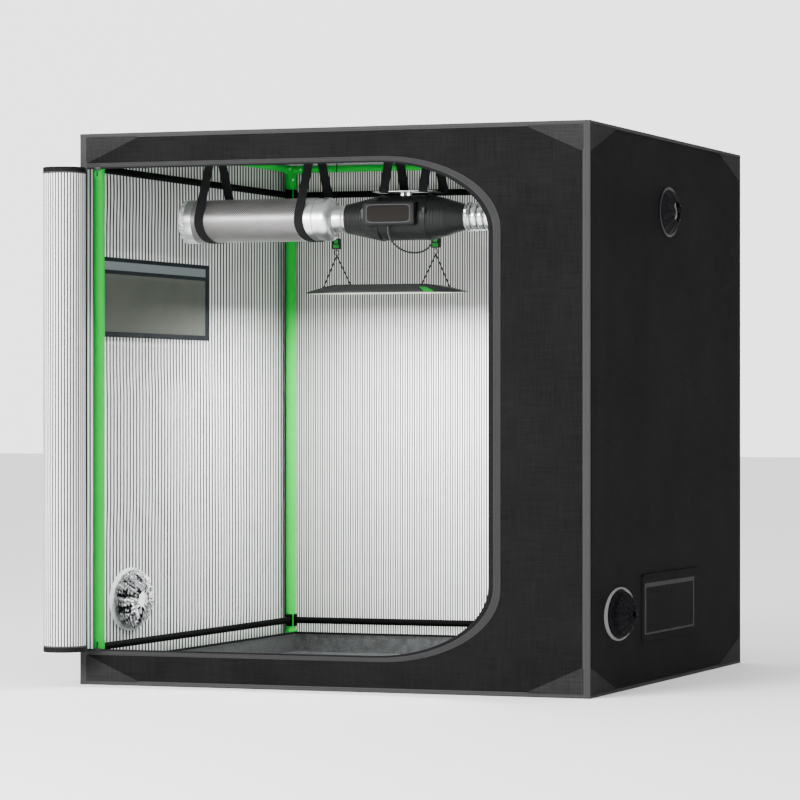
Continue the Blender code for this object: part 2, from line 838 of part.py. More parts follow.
def net_form(width, height, border, head, columns, rows, bar, thick):
    """A flat screen: a border round a grid of square threads, pushed out to its thickness."""
    def lines(start, end, count):
        pitch = (end - start - bar * (count - 1)) / count
        places = [start]
        for i in range(count):
            places.append(places[-1] + pitch)
            if i < count - 1:
                places.append(places[-1] + bar)
        return places
    across = [0] + lines(border, width - border, columns) + [width]
    upward = [0] + lines(border, height - head, rows) + [height]
    form = bmesh.new()
    grid = [[form.verts.new((a, b, 0)) for b in upward] for a in across]
    for i in range(len(across) - 1):
        for j in range(len(upward) - 1):
            if i % 2 == 0 or j % 2 == 0:
                form.faces.new((grid[i][j], grid[i + 1][j], grid[i + 1][j + 1], grid[i][j + 1]))
    pushed = bmesh.ops.extrude_face_region(form, geom=list(form.faces))
    top = [part for part in pushed["geom"] if isinstance(part, bmesh.types.BMVert)]
    bmesh.ops.translate(form, verts=top, vec=(0, 0, thick))
    form.transform(AXES["X"])
    return form


def make_screens():
    """Insect screens that fill the window and the vent, inside their cut-outs."""
    window = net_form(window_rear_y - window_front_y - 2 * gap, window_top_z - window_bottom_z - 2 * gap,
                      window_border, window_head, window_thread_count, window_row_count, thread, net_thick)
    place_mesh("window_screen", window, "insect screen",
               (-inner_x - cloth / 2 - net_thick / 2, window_front_y + gap, window_bottom_z + gap))
    vent = net_form(vent_rear_y - vent_front_y - 2 * gap, vent_top_z - vent_bottom_z - 2 * gap,
                    vent_border, vent_border, vent_thread_count, vent_row_count, thread, net_thick)
    place_mesh("vent_screen", vent, "insect screen",
               (inner_x + cloth / 2 - net_thick / 2, vent_front_y + gap, vent_bottom_z + gap))


def make_flap(name, side, front, rear, bottom, top, hinge_height):
    """A cover flap that hangs outside a screen from a sewn hinge along its top."""
    wall = side * wall_x
    axis_x = wall + side * (patch_raise + gap + flap_roll_radius)
    hinge = joint_empty(f"{name}_hinge", (axis_x, 0, top + flap_overlap))
    low = front - flap_overlap
    high = rear + flap_overlap
    roll = [(low, 0), (low, flap_roll_radius), (high, flap_roll_radius), (high, 0)]
    bead = place_mesh(name, turned_form(roll, "Y", steps=8, closed=False), "black oxford cloth",
                      parent=hinge)
    inside = -side * flap_roll_radius
    drop = top - bottom + 2 * flap_overlap
    sheet = box_form((min(inside, inside + side * flap_thick), low, -drop),
                     (max(inside, inside + side * flap_thick), high, 0))
    sheet_guide = place_mesh(f"{name}_sheet", sheet, None, parent=hinge)
    band = box_form((min(inside, 0), low, -hinge_height), (max(inside, 0), high, 0))
    band_guide = place_mesh(f"{name}_band", band, None, parent=hinge)
    hem = box_form((min(inside, inside + side * flap_thick * 2), low, -drop),
                   (max(inside, inside + side * flap_thick * 2), high, flap_hem - drop))
    hem_guide = place_mesh(f"{name}_hem", hem, None, parent=hinge)
    join(bead, sheet_guide, band_guide, hem_guide)


def pleated_form(profile, half_w, half_h, pleats, steps):
    """An oval sleeve. Each profile point is (along, size share, pleat share)."""
    form = bmesh.new()
    rings = []
    for along, size, pleat in profile:
        ring = []
        for i in range(steps):
            turn = math.tau * i / steps
            wave = 1 + pleat * math.cos(pleats * turn)
            ring.append(form.verts.new((along, half_w * size * wave * math.cos(turn),
                                        half_h * size * wave * math.sin(turn))))
        rings.append(ring)
    for k in range(len(rings)):
        here, there = rings[k], rings[(k + 1) % len(rings)]
        for i in range(steps):
            j = (i + 1) % steps
            form.faces.new((here[i], here[j], there[j], there[i]))
    return form


def sleeve_profile(reach, shares, way):
    """Close a sleeve's stations into a loop, with the cloth's thickness inside."""
    stations = [(-cloth, sleeve_start_share, 0)]
    stations += [(reach * along, size, pleat) for along, size, pleat in shares]
    outer = [(way * along, size, pleat) for along, size, pleat in stations]
    inner = [(way * along, size - sleeve_shrink, pleat) for along, size, pleat in reversed(stations)]
    return outer + inner


def make_port(name, finish, side, middle, half, sleeve, way):
    """A collar sewn in the wall's cut-out, with the gathered sleeve that hangs from it."""
    half_w, half_h = half
    face = side * (wall_x + patch_raise + gap)
    lip = 1 + collar_lip / half_w
    fit = 1 - 2 * gap / half_h
    back = -side * (cloth + patch_raise + gap)
    body = place_mesh(name, pleated_form(sleeve_profile(*sleeve, way), half_w, half_h, sleeve_pleat_count,
                                         sleeve_steps), finish, (face, *middle))
    collar = [(0, lip, 0), (side * collar_thick, lip, 0),
              (side * collar_thick, fit * collar_inner_share, 0), (back, fit * collar_inner_share, 0),
              (back, fit, 0), (0, fit, 0)]
    guide = place_mesh(f"{name}_collar", pleated_form(collar, half_w, half_h, sleeve_pleat_count,
                                                      sleeve_steps), None, (face, *middle))
    join(body, guide)


def make_ports():
    """Upper port open round the duct, lower port cinched outside, left port gathered inside."""
    make_port("duct_port_upper", "black oxford cloth", 1, (upper_port_y, upper_port_z),
              (upper_port_half_width, upper_port_half_height), (upper_sleeve_reach, upper_sleeve_shares), 1)
    make_port("duct_port_lower", "black oxford cloth", 1, (lower_port_y, lower_port_z),
              (lower_port_half_width, lower_port_half_height), (lower_sleeve_reach, lower_sleeve_shares), 1)
    make_port("duct_port_left", "silver foil", -1, (left_port_y, left_port_z),
              (left_port_half_width, left_port_half_height), (left_sleeve_reach, left_sleeve_shares), 1)


# Filter and fan

def make_filter():
    """A thin round can, closed at its left end, with bright bands at both ends of a punched skin."""
    place = (0, filter_bar_y, filter_axis_z)
    left_band = filter_left_x + filter_band
    right_band = filter_right_x - filter_groove
    inside = filter_skin_radius - filter_wall
    groove_inside = filter_groove_radius - filter_wall
    profile = [(filter_left_x, 0), (filter_left_x, filter_radius - end_ring_wall),
               (filter_left_x + end_ring_wall / 2, filter_radius), (left_band, filter_radius),
               (left_band, filter_skin_radius), (right_band - filter_band, filter_skin_radius),
               (right_band - filter_band, filter_radius), (right_band, filter_radius),
               (right_band, filter_groove_radius), (filter_right_x, filter_groove_radius),
               (filter_right_x, groove_inside), (right_band - filter_wall, groove_inside),
               (right_band - filter_wall, inside), (left_band, inside),
               (filter_left_x + end_ring_wall, inside),
               (filter_left_x + filter_wall, filter_radius - end_ring_wall), (filter_left_x + filter_wall, 0)]
    round_shading(turned("filter_body", profile, "galvanised steel", "X", place, filter_sides, closed=False))
    inner = filter_right_x + gap
    shoulder = inner + cap_depth / 2
    outer = inner + cap_depth
    end = outer + neck_length
    bead = end - neck_length / 3
    cap = [(inner, filter_radius - cap_wall), (inner, filter_radius), (shoulder, filter_radius),
           (outer, filter_radius - end_ring_wall), (outer, neck_radius), (bead, neck_radius),
           (bead + neck_bead, neck_radius + neck_bead), (bead + 2 * neck_bead, neck_radius),
           (end, neck_radius), (end, neck_radius - cap_wall), (outer - cap_wall, neck_radius - cap_wall),
           (outer - cap_wall, filter_radius - end_ring_wall - cap_wall),
           (shoulder, filter_radius - cap_wall)]
    round_shading(turned("filter_outlet_cap", cap, "polished steel", "X", place, filter_sides))


def fan_stations():
    start = fan_start_x
    wide = start + cone_in_length
    turn = wide + fan_straight
    step = turn + cone_out_length
    end = step + cone_end_length
    return start, wide, turn, step, end


def make_fan():
    """Hollow casing of two cones with a motor pod on five vanes, and a bracket on top."""
    place = (0, filter_bar_y, filter_axis_z)
    start, wide, turn, step, end = fan_stations()
    outer = [(start, spigot_radius + shell_wall), (start + spigot_length, spigot_radius + shell_wall),
             (wide, fan_radius), (wide + rib_width, fan_radius), (wide + rib_width, fan_radius + rib_raise),
             (wide + 2 * rib_width, fan_radius + rib_raise), (wide + 2 * rib_width, fan_radius),
             (turn - rib_width, fan_radius), (turn - rib_width, fan_radius + rib_raise),
             (turn, fan_radius + rib_raise), (turn, fan_radius), (step, cone_mid_radius),
             (end, outlet_radius), (end, outlet_radius - shell_wall), (step, cone_mid_radius - shell_wall),
             (turn, fan_radius - shell_wall), (wide, fan_radius - shell_wall),
             (start + spigot_length, spigot_radius), (start, spigot_radius)]
    casing = turned("fan_casing", outer, "black plastic", "X", place, fan_sides)
    pod_start = turn - pod_length
    pod = rod("fan_pod", pod_start, turn, pod_radius, "X", place, steps=round_sides)
    vanes = []
    for i in range(vane_count):
        turn_angle = math.tau * i / vane_count
        form = box_form((pod_start + vane_thick, -vane_thick / 2, pod_radius - vane_thick),
                        (turn - vane_thick, vane_thick / 2, fan_radius - shell_wall / 2))
        form.transform(Matrix.Translation(place) @ Matrix.Rotation(turn_angle, 4, "X"))
        vanes.append(place_mesh(f"fan_vane_{i}", form, None))
    plate_z = filter_axis_z + fan_radius + bracket_rise
    middle = (wide + turn) / 2
    plate = box("fan_bracket_plate",
                (middle - bracket_length / 2, filter_bar_y - bracket_half_width, plate_z),
                (middle + bracket_length / 2, filter_bar_y + bracket_half_width, plate_z + bracket_thick))
    posts = [box(f"fan_post_{way}",
                 (middle + way * bracket_post - bracket_post / 2, filter_bar_y - bracket_post,
                  filter_axis_z + fan_radius - shell_wall),
                 (middle + way * bracket_post + bracket_post / 2, filter_bar_y + bracket_post,
                  plate_z + bracket_thick / 2)) for way in (-1, 1)]
    join(casing, pod, *vanes, plate, *posts)
    round_shading(casing)


def blade_form(turn):
    """One blade, with more pitch at its tip than at its root."""
    form = bmesh.new()
    root = hub_radius * blade_root_share
    tip = fan_radius - shell_wall - blade_tip_clear
    sections = []
    for step, twist in enumerate(blade_twist_shares):
        radius = root + (tip - root) * step / (len(blade_twist_shares) - 1)
        pitch = blade_twist * twist
        section = []
        for edge, side in ((-1, -1), (-1, 1), (1, 1), (1, -1)):
            lean = edge * hub_length * blade_chord_share
            thick = side * blade_thick / 2
            x = -hub_length / 2 + lean * math.cos(pitch) - thick * math.sin(pitch)
            y = lean * math.sin(pitch) + thick * math.cos(pitch)
            level = math.sqrt(radius ** 2 - min(y ** 2, radius ** 2 / 2))
            section.append(form.verts.new((x, y, level)))
        sections.append(section)
    for a, b in zip(sections, sections[1:]):
        for i in range(4):
            j = (i + 1) % 4
            form.faces.new((a[i], a[j], b[j], b[i]))
    form.faces.new(sections[0])
    form.faces.new(sections[-1])
    form.transform(Matrix.Rotation(turn, 4, "X"))
    return form


def make_impeller():
    """Bladed wheel on a short shaft that runs in the motor pod's face."""
    start, wide, turn, step, end = fan_stations()
    face = turn - pod_length - shaft_gap
    spin = joint_empty("fan_spin", (face, filter_bar_y, filter_axis_z))
    nose = -hub_length
    profile = [(nose - hub_nose, 0)]
    profile += [(nose - hub_nose * along, hub_radius * size) for along, size in nose_shares]
    profile += [(0, hub_radius), (0, shaft_radius), (shaft_gap - gap, shaft_radius), (shaft_gap - gap, 0)]
    hub = place_mesh("fan_impeller", turned_form(profile, "X", steps=hub_sides, closed=False),
                     "black plastic", parent=spin)
    blades = [place_mesh(f"fan_blade_{i}", blade_form(math.tau * i / blade_count), None, parent=spin)
              for i in range(blade_count)]
    join(hub, *blades)
    round_shading(hub)


def make_control_box():
    """Box with a bare dark screen, shaped to sit against the fan's casing."""
    place = (0, filter_bar_y, filter_axis_z)
    front = filter_bar_y - box_front
    low = (box_left_x, front, box_bottom_z)
    high = (box_right_x, filter_bar_y - box_back, box_top_z)
    case = box("fan_control_box", low, high, "black plastic")
    bevel = case.modifiers.new("bevel", "BEVEL")
    bevel.width = box_bevel
    bevel.segments = 2
    seat = rod("box_seat", box_left_x - overrun, box_right_x + overrun, fan_radius + rib_raise + gap, "X",
               place, steps=fan_sides)
    screen = box("box_screen_recess", (box_left_x + screen_margin + box_bevel / 2, front - overrun,
                                       box_bottom_z + screen_margin),
                 (box_right_x - screen_margin - box_bevel / 2, front + screen_depth,
                  box_top_z - screen_margin))
    gland = rod("box_gland", box_bottom_z - gland_length, box_bottom_z + box_bevel, gland_radius, "Z",
                (lead_left_x, front + box_bevel * 2, 0), steps=12)
    join(case, gland)
    cut(case, seat, screen)


def make_lead():
    """The short lead that hangs in a loop from the control box to the fan's casing."""
    y = filter_bar_y - box_front + box_bevel * 2
    start = Vector((lead_left_x, y, box_bottom_z - gland_length - gap))
    under = (fan_radius + rib_raise) * math.cos(math.pi / fan_sides) + gap
    finish = Vector((lead_right_x, filter_bar_y, filter_axis_z - under))
    stub = Vector((0, 0, lead_radius * 2))
    leave, arrive = start - stub, finish - stub
    path = [start]
    for i in range(lead_points + 1):
        share = i / lead_points
        reach = 3 * share ** 2 - 2 * share ** 3
        place = leave.lerp(arrive, reach)
        place.z = leave.z + (arrive.z - leave.z) * share - lead_drop * math.sin(math.pi * share)
        path.append(place)
    path.append(finish)
    tube_curve("fan_lead", path, [1.0] * len(path), lead_radius, "black plastic", 2)


def tube_curve(name, path, sizes, radius, finish, resolution):
    """A round tube along a list of points, closed at both ends."""
    curve = bpy.data.curves.new(name, "CURVE")
    curve.dimensions = "3D"
    curve.bevel_depth = radius
    curve.bevel_resolution = resolution
    curve.use_fill_caps = True
    line = curve.splines.new("POLY")
    line.points.add(len(path[1:]))
    for point, place, size in zip(line.points, path, sizes):
        point.co = (*place, 1)
        point.radius = size
    item = bpy.data.objects.new(name, curve)
    bpy.context.scene.collection.objects.link(item)
    if finish:
        dress(item, finish)
    return item


def duct_line():
    """Route of the duct: straight out of the fan, one S bend, straight into the port."""
    start_x = fan_stations()[4] + gap
    begin = Vector((start_x, filter_bar_y, filter_axis_z))
    finish = Vector((wall_x + duct_end_out, upper_port_y, upper_port_z))
    a = begin + Vector((duct_straight, 0, 0))
    d = finish - Vector((duct_straight, 0, 0))
    pull = (d.x - a.x) * duct_bend_share

    def route(share):
        first = duct_straight / ((d - a).length + 2 * duct_straight)
        if share < first:
            return begin.lerp(a, share / first)
        if share > 1 - first:
            return d.lerp(finish, (share - 1 + first) / first)
        t = (share - first) / (1 - first - first)
        b = a + Vector((pull, 0, 0))
        c = d - Vector((pull, 0, 0))
        first_line, middle_line, last_line = a.lerp(b, t), b.lerp(c, t), c.lerp(d, t)
        return first_line.lerp(middle_line, t).lerp(middle_line.lerp(last_line, t), t)
    return route


def make_duct():
    """Ribbed foil duct with its bore."""
    route = duct_line()
    path, sizes = [], []
    for i in range(2 * duct_rib_count + 1):
        path.append(route(i / (2 * duct_rib_count)))
        sizes.append(1.0 if i % 2 else duct_valley / duct_radius)
    duct = tube_curve("exhaust_duct", path, sizes, duct_radius, "silver foil", 2)
    start, finish = route(0), route(1)
    inner = [start - Vector((overrun, 0, 0))]
    inner += [route(i / duct_bore_points) for i in range(1, duct_bore_points)]
    inner += [finish + Vector((overrun, 0, 0))]
    bore = tube_curve("duct_bore", inner, [1.0] * len(inner), duct_bore, None, 2)
    mesh_from(duct)
    mesh_from(bore)
    cut(bpy.data.objects["exhaust_duct"], bpy.data.objects["duct_bore"])


def mesh_from(item):
    """Turn a curve object into a mesh object of the same name."""
    name = item.name
    graph = bpy.context.evaluated_depsgraph_get()
    mesh = bpy.data.meshes.new_from_object(item.evaluated_get(graph))
    bpy.data.objects.remove(item)
    form = bmesh.new()
    form.from_mesh(mesh)
    bmesh.ops.remove_doubles(form, verts=form.verts, dist=gap / 100)
    place_mesh(name, form, None)
    solid = bpy.data.objects[name]
    dress(solid, "silver foil")
    return solid


def belt_outline(circles, thick):
    """The taut belt round several circles: the outer hull of their points."""
    points = []
    for y, z, radius in circles:
        for i in range(strap_steps * 2):
            turn = math.tau * i / (strap_steps * 2)
            points.append((y + (radius + thick) * math.cos(turn), z + (radius + thick) * math.sin(turn)))
    lowest = min(points, key=lambda p: (p[1], p[0]))
    hull = [lowest]
    while True:
        current = hull[-1]
        best = None
        for p in points:
            if p == current:
                continue
            if best is None:
                best = p
                continue
            turn = (best[0] - current[0]) * (p[1] - current[1]) - (best[1] - current[1]) * (p[0] - current[0])
            far = math.dist(current, p) > math.dist(current, best)
            if turn < -gap ** 2 or (abs(turn) <= gap ** 2 and far):
                best = p
        if best == hull[0] or len(hull) > len(points):
            break
        hull.append(best)
    return hull


def make_strap(name, x, circles):
    """A loop of webbing round the hanging bar and what it carries, hung a little askew."""
    inside = belt_outline(circles, gap)
    form = bmesh.new()
    count = len(inside)
    rings = []
    for i, (y, z) in enumerate(inside):
        before = Vector(inside[i - 1])
        after = Vector(inside[(i + 1) % count])
        along = (after - before).normalized()
        out_y, out_z = y + along.y * strap_thick, z - along.x * strap_thick
        shift = strap_skew_share * (y - filter_bar_y)
        ring = [form.verts.new((x + shift + side * strap_width / 2, a, b))
                for side, a, b in ((-1, y, z), (1, y, z), (1, out_y, out_z), (-1, out_y, out_z))]
        rings.append(ring)
    for i in range(count):
        here, there = rings[i], rings[(i + 1) % count]
        for k in range(4):
            form.faces.new((here[k], here[(k + 1) % 4], there[(k + 1) % 4], there[k]))
    place_mesh(name, form, "black webbing")


def make_straps():
    bar = (filter_bar_y, top_rail_z, bar_radius)
    can = (filter_bar_y, filter_axis_z, filter_radius)
    make_strap("filter_strap_1", filter_left_x + filter_strap_left_in, [bar, can])
    make_strap("filter_strap_2", filter_right_x - filter_strap_right_in, [bar, can])
    edge = bracket_thick / 2
    plate_z = filter_axis_z + fan_radius + bracket_rise + edge
    reach = bracket_half_width - edge
    plate = [(filter_bar_y + way * reach, plate_z, edge * math.sqrt(2)) for way in (-1, 1)]
    make_strap("fan_strap_1", fan_strap_left_x, [bar] + plate)
    make_strap("fan_strap_2", fan_strap_right_x, [bar] + plate)


# Lamp

def make_lamp():
    """Slim lamp with pointed ends, its shallow pan open below, on two wire hangers."""
    height = joint_empty("lamp_height", (lamp_x, lamp_bar_y, lamp_bottom_z))
    half = lamp_length / 2
    flat = lamp_flat_length / 2
    form = bmesh.new()

    def ring(level, shrink):
        wide = lamp_depth / 2 - shrink
        tip = lamp_tip_depth / 2 - shrink / 2
        out = half - shrink * 2
        outline = [(-out, -tip), (-flat, -wide), (flat, -wide), (out, -tip),
                   (out, tip), (flat, wide), (-flat, wide), (-out, tip)]
        return [form.verts.new((x, y, level)) for x, y in outline]

    far, near = (flat * share for share in lamp_crown_shares)
    slim, broad = (lamp_depth * share for share in lamp_crown_depth_shares)
    crown = [form.verts.new((x, y, lamp_thick))
             for x, y in ((-far, -slim), (-near, -broad), (near, -broad), (far, -slim),
                          (far, slim), (near, broad), (-near, broad), (-far, slim))]
    rings = [ring(lamp_pan, lamp_pan), ring(0, lamp_pan), ring(0, 0), ring(lamp_edge, 0), crown]
    for a, b in zip(rings, rings[1:]):
        for i in range(8):
            j = (i + 1) % 8
            form.faces.new((a[i], a[j], b[j], b[i]))
    form.faces.new(rings[0])
    form.faces.new(crown)
    place_mesh("lamp_housing", form, "lamp shell", parent=height)
    for label, way in (("left", -1), ("right", 1)):
        make_hanger(label, way * hanger_spread, height)
        make_rope(label, lamp_x + way * hanger_spread)


def lamp_level(x):
    """Height of the lamp's top above its bottom, at a distance along it from its middle."""
    crown = lamp_flat_length / 2 * lamp_crown_shares[0]
    share = max(0, abs(x) - crown) / (lamp_length / 2 - crown)
    return lamp_thick - (lamp_thick - lamp_edge) * share


def make_hanger(label, offset, height):
    """Two wires from the lamp up to a ring, and the ratchet that holds the ring."""
    low = ratchet_rise
    high = ratchet_rise + ratchet_height
    half_w = ratchet_width / 2
    body = place_mesh(f"lamp_ratchet_{label}",
                      box_form((offset - half_w, -ratchet_depth / 2, low),
                               (offset + half_w, ratchet_depth / 2, high)), "black plastic", parent=height)
    bevel = body.modifiers.new("bevel", "BEVEL")
    bevel.width = ratchet_depth / 4
    bevel.segments = 2
    stem = place_mesh(f"ratchet_stem_{label}",
                      turned_form([(apex_rise, 0), (apex_rise, wire_radius * 2),
                                    (low + wire_radius, wire_radius * 2),
                                   (low + wire_radius, 0)], "Z", (offset, 0, 0), 8, closed=False),
                      None, parent=height)
    guides = [stem]
    for way in (-1, 1):
        foot_x = offset + way * foot_spread
        foot_z = lamp_level(foot_x) + wire_radius / 2 + gap
        guides.append(wire(f"lamp_wire_{label}_{way}", (offset, 0, apex_rise + wire_radius),
                           (foot_x, 0, foot_z), height))
    join(body, *guides)


def wire(name, top, bottom, parent):
    """A straight wire as a slim six-sided bar between two points."""
    a, b = Vector(top), Vector(bottom)
    along = b - a
    form = turned_form([(0, 0), (0, wire_radius), (along.length, wire_radius), (along.length, 0)],
                       "Z", steps=6, closed=False)
    form.transform(Matrix.Translation(a) @ along.to_track_quat("Z", "Y").to_matrix().to_4x4())
    return place_mesh(name, form, None, parent=parent)


def make_rope(label, x):
    """Rope from the bar down into the ratchet, with a loop round the bar at its top."""
    loop_inner = bar_radius + gap
    profile = tube_profile(-rope_loop_wall / 2, rope_loop_wall / 2, loop_inner + rope_loop_wall, loop_inner)
    loop = turned(f"lamp_rope_{label}", profile, "black webbing", "X", (x, lamp_bar_y, top_rail_z), 16)
    low = lamp_bottom_z + ratchet_rise + ratchet_height + gap - top_rail_z
    high = -loop_inner - rope_loop_wall / 2
    line = rod(f"rope_line_{label}", low, high, rope_radius, "Z", (x, lamp_bar_y, top_rail_z), steps=8)
    join(loop, line)
    return loop


def main():
    clear_scene()
    make_poles()
    make_rails()
    make_top_fittings()
    make_bottom_ends()
    make_braces()
    make_hanging_bar("filter_hanging_bar", filter_bar_y)
    slide = joint_empty("lamp_bar_slide", (0, lamp_bar_y, top_rail_z))
    make_hanging_bar("lamp_hanging_bar", lamp_bar_y, slide)
    make_flat_panels()
    make_side_walls()
    make_front_panel()
    make_edge_tape()
    make_sliders()
    make_door()
    make_tray()
    make_screens()
    make_flap("window_flap", -1, window_front_y, window_rear_y, window_bottom_z, window_top_z, flap_hem)
    make_flap("vent_flap", 1, vent_front_y, vent_rear_y, vent_bottom_z, vent_top_z, vent_hinge_height)
    make_ports()
    make_filter()
    make_fan()
    make_impeller()
    make_control_box()
    make_lead()
    make_straps()
    make_duct()
    make_lamp()


main()
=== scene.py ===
"""The look of an indoor grow tent, one section for each piece in the order it is put together.

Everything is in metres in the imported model's own frame: +X to the right of someone who faces the
doorway, +Y back into the tent, +Z up. Surfaces are grids of points worked out with numpy.
"""

import math

import bmesh
import bpy
import numpy as np
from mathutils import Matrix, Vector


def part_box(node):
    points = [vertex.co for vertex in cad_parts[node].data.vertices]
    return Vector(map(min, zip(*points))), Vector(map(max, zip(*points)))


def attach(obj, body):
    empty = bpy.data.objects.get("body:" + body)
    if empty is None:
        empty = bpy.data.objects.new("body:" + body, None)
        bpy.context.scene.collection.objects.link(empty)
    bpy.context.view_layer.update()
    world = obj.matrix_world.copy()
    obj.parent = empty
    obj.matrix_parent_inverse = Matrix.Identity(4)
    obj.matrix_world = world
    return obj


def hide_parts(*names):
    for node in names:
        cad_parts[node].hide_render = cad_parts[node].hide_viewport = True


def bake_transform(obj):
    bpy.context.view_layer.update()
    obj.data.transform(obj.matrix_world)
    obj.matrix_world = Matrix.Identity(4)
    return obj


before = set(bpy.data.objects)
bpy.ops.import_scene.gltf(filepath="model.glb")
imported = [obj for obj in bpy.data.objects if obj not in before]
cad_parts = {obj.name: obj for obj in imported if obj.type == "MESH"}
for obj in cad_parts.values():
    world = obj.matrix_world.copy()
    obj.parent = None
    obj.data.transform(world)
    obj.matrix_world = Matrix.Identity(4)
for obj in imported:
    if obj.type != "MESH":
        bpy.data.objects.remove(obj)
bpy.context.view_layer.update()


# The view and the studio: a level camera in front of the doorway and to its right, a pale floor,
# and large soft lamps in front. One more lights the room inside the tent from under its roof.
def put_in(name, data):
    """An object that holds this data, linked to the scene."""
    item = bpy.data.objects.new(name, data)
    bpy.context.scene.collection.objects.link(item)
    return item


view_data = bpy.data.cameras.new("view")
view_data.sensor_width = 36
view_data.lens = 167.62
view_data.shift_y = 0.00825
view_data.clip_end = 200
view = put_in("view", view_data)
view.location = (4.96624, -13.446, 1.025425)
view.rotation_euler = (math.pi / 2, 0, math.radians(20.6334))
bpy.context.scene.camera = view


def add_node(tree, kind, *sources, result=0, **settings):
    """Adds a node, fills its inputs in order with numbers or other outputs, and gives an output."""
    item = tree.nodes.new(kind)
    for key, value in settings.items():
        setattr(item, key, value)
    for place, source in enumerate(sources):
        if isinstance(source, bpy.types.NodeSocket):
            tree.links.new(source, item.inputs[place])
        elif source is not None:
            item.inputs[place].default_value = source
    return item.outputs[result]


# Each glow of the sky: the way it lies, and the cosine and strength where it starts and ends.
sky_glows = (((-0.352, 0.936, 0), (0.82, 0.985, 0.4, 2.9)), ((-0.8, -0.6, 0), (-0.5, 0.8, 0.0, 0.3)),
             ((0, 0, 1), (0.35, 1.0, 0.0, 2.2)))
studio = bpy.data.worlds.new("studio")
studio.use_nodes = True
sky = studio.node_tree
sky_way = add_node(sky, "ShaderNodeTexCoord", result="Generated")
sky_light = None
for toward, reach in sky_glows:
    share = add_node(sky, "ShaderNodeVectorMath", sky_way, toward, result="Value", operation="DOT_PRODUCT")
    glow = add_node(sky, "ShaderNodeMapRange", share, *reach, interpolation_type="SMOOTHSTEP")
    sky_light = add_node(sky, "ShaderNodeMath", sky_light, glow) if sky_light else glow
sky.links.new(sky_light, sky.nodes["Background"].inputs["Strength"])
sky.nodes["Background"].inputs["Color"].default_value = (1, 1, 1, 1)
bpy.context.scene.world = studio


def soft_lamp(name, place, target, width, height, power):
    """A rectangular lamp at a place, turned to face a target."""
    data = bpy.data.lights.new(name, "AREA")
    data.shape = "RECTANGLE"
    data.size, data.size_y, data.energy = width, height, power
    lamp = put_in(name, data)
    lamp.location = place
    aim = np.subtract(target, place)
    lamp.rotation_euler = (math.atan2(math.hypot(aim[0], aim[1]), -aim[2]), 0,
                           math.atan2(aim[1], aim[0]) - math.pi / 2)
    lamp.visible_camera = False


soft_lamp("front_lamp", (-3.2, -9, 4.2), (0, 0, 0.9), 5, 4, 2300)
soft_lamp("room_lamp", (0, 0.3, 1.44), (0, 0.31, 0), 1.3, 0.8, 95)


class Skin:
    """A node material: each method adds a node and gives its output, and dress feeds the shader."""

    def __init__(self, name):
        self.material = bpy.data.materials.new(name)
        self.material.use_nodes = True
        self.tree = self.material.node_tree
        self.shader = self.tree.nodes["Principled BSDF"]

    def add(self, kind, *sources, **settings):
        """Any node."""
        return add_node(self.tree, kind, *sources, **settings)

    def maths(self, operation, *sources):
        """One arithmetic node."""
        return self.add("ShaderNodeMath", *sources, operation=operation)

    def place(self):
        """The point in the model's frame."""
        return self.add("ShaderNodeTexCoord", result="Object")

    def flat(self):
        """The piece's own surface coordinates in metres: as one vector, across and along."""
        uv = self.add("ShaderNodeUVMap", uv_map="metres")
        return uv, *self.add("ShaderNodeSeparateXYZ", uv, result=slice(2))

    def noise(self, scale, detail=3.0, rough=0.55, place=None):
        """Noise of about one unit over 1 / scale metres."""
        place = self.place() if place is None else place
        return self.add("ShaderNodeTexNoise", place, None, scale, detail, rough)

    def drawn(self, place, sizes, detail, rough):
        """Noise drawn out into streaks: its point is multiplied by three sizes first."""
        long = self.add("ShaderNodeMapping", place, None, None, sizes, vector_type="POINT")
        return self.noise(1.0, detail, rough, long)

    def wave(self, value, length, kind="SINE"):
        """Sine or cosine of a distance, one full turn in each length."""
        return self.maths(kind, self.maths("MULTIPLY", value, math.tau / length))

    def lifted(self, value):
        """Carries -1 to 1 to 0 to 1."""
        return self.maths("MULTIPLY_ADD", value, 0.5, 0.5)

    def spread(self, value, low, high, out_low=0, out_high=1):
        """Carries a value from one range to another, clamped."""
        return self.add("ShaderNodeMapRange", value, low, high, out_low, out_high)

    def mix(self, share, first, second):
        """Mixes two colours by a share from 0 to 1."""
        made = [c if isinstance(c, bpy.types.NodeSocket) else (*c, 1) for c in (first, second)]
        return self.add("ShaderNodeMixRGB", share, *made)

    def put(self, socket, value):
        """Gives an input of the shader a constant or another node's output."""
        if isinstance(value, bpy.types.NodeSocket):
            self.tree.links.new(value, self.shader.inputs[socket])
        else:
            self.shader.inputs[socket].default_value = value

    def dress(self, tone, rough, height, distance, strength, gloss=0.5, metal=0.0):
        """Feeds the shader and gives the finished material.

        Roughness is a number, or what spread takes. The bump is a height from 0 to 1 times a
        distance in metres. Gloss is the specular level.
        """
        bump = self.tree.nodes.new("ShaderNodeBump")
        bump.inputs["Strength"].default_value = strength
        bump.inputs["Distance"].default_value = distance
        self.tree.links.new(height, bump.inputs["Height"])
        rough = self.spread(*rough) if isinstance(rough, tuple) else rough
        for socket, value in (("Base Color", tone), ("Roughness", rough), ("Specular IOR Level", gloss),
                              ("Metallic", metal), ("Normal", bump.outputs[0])):
            self.put(socket, value)
        return self.material


floor_half = 60
floor_mesh = bpy.data.meshes.new("studio_floor")
floor_mesh.from_pydata([(x * floor_half, y * floor_half, 0) for x, y in ((-1, -1), (1, -1), (1, 1), (-1, 1))],
                       [], [(0, 1, 2, 3)])
studio_floor = put_in("studio_floor", floor_mesh)
pale = Skin("pale_paper")
pale.put("Base Color", (0.95, 0.95, 0.95, 1))
pale.put("Roughness", 0.9)
floor_mesh.materials.append(pale.material)


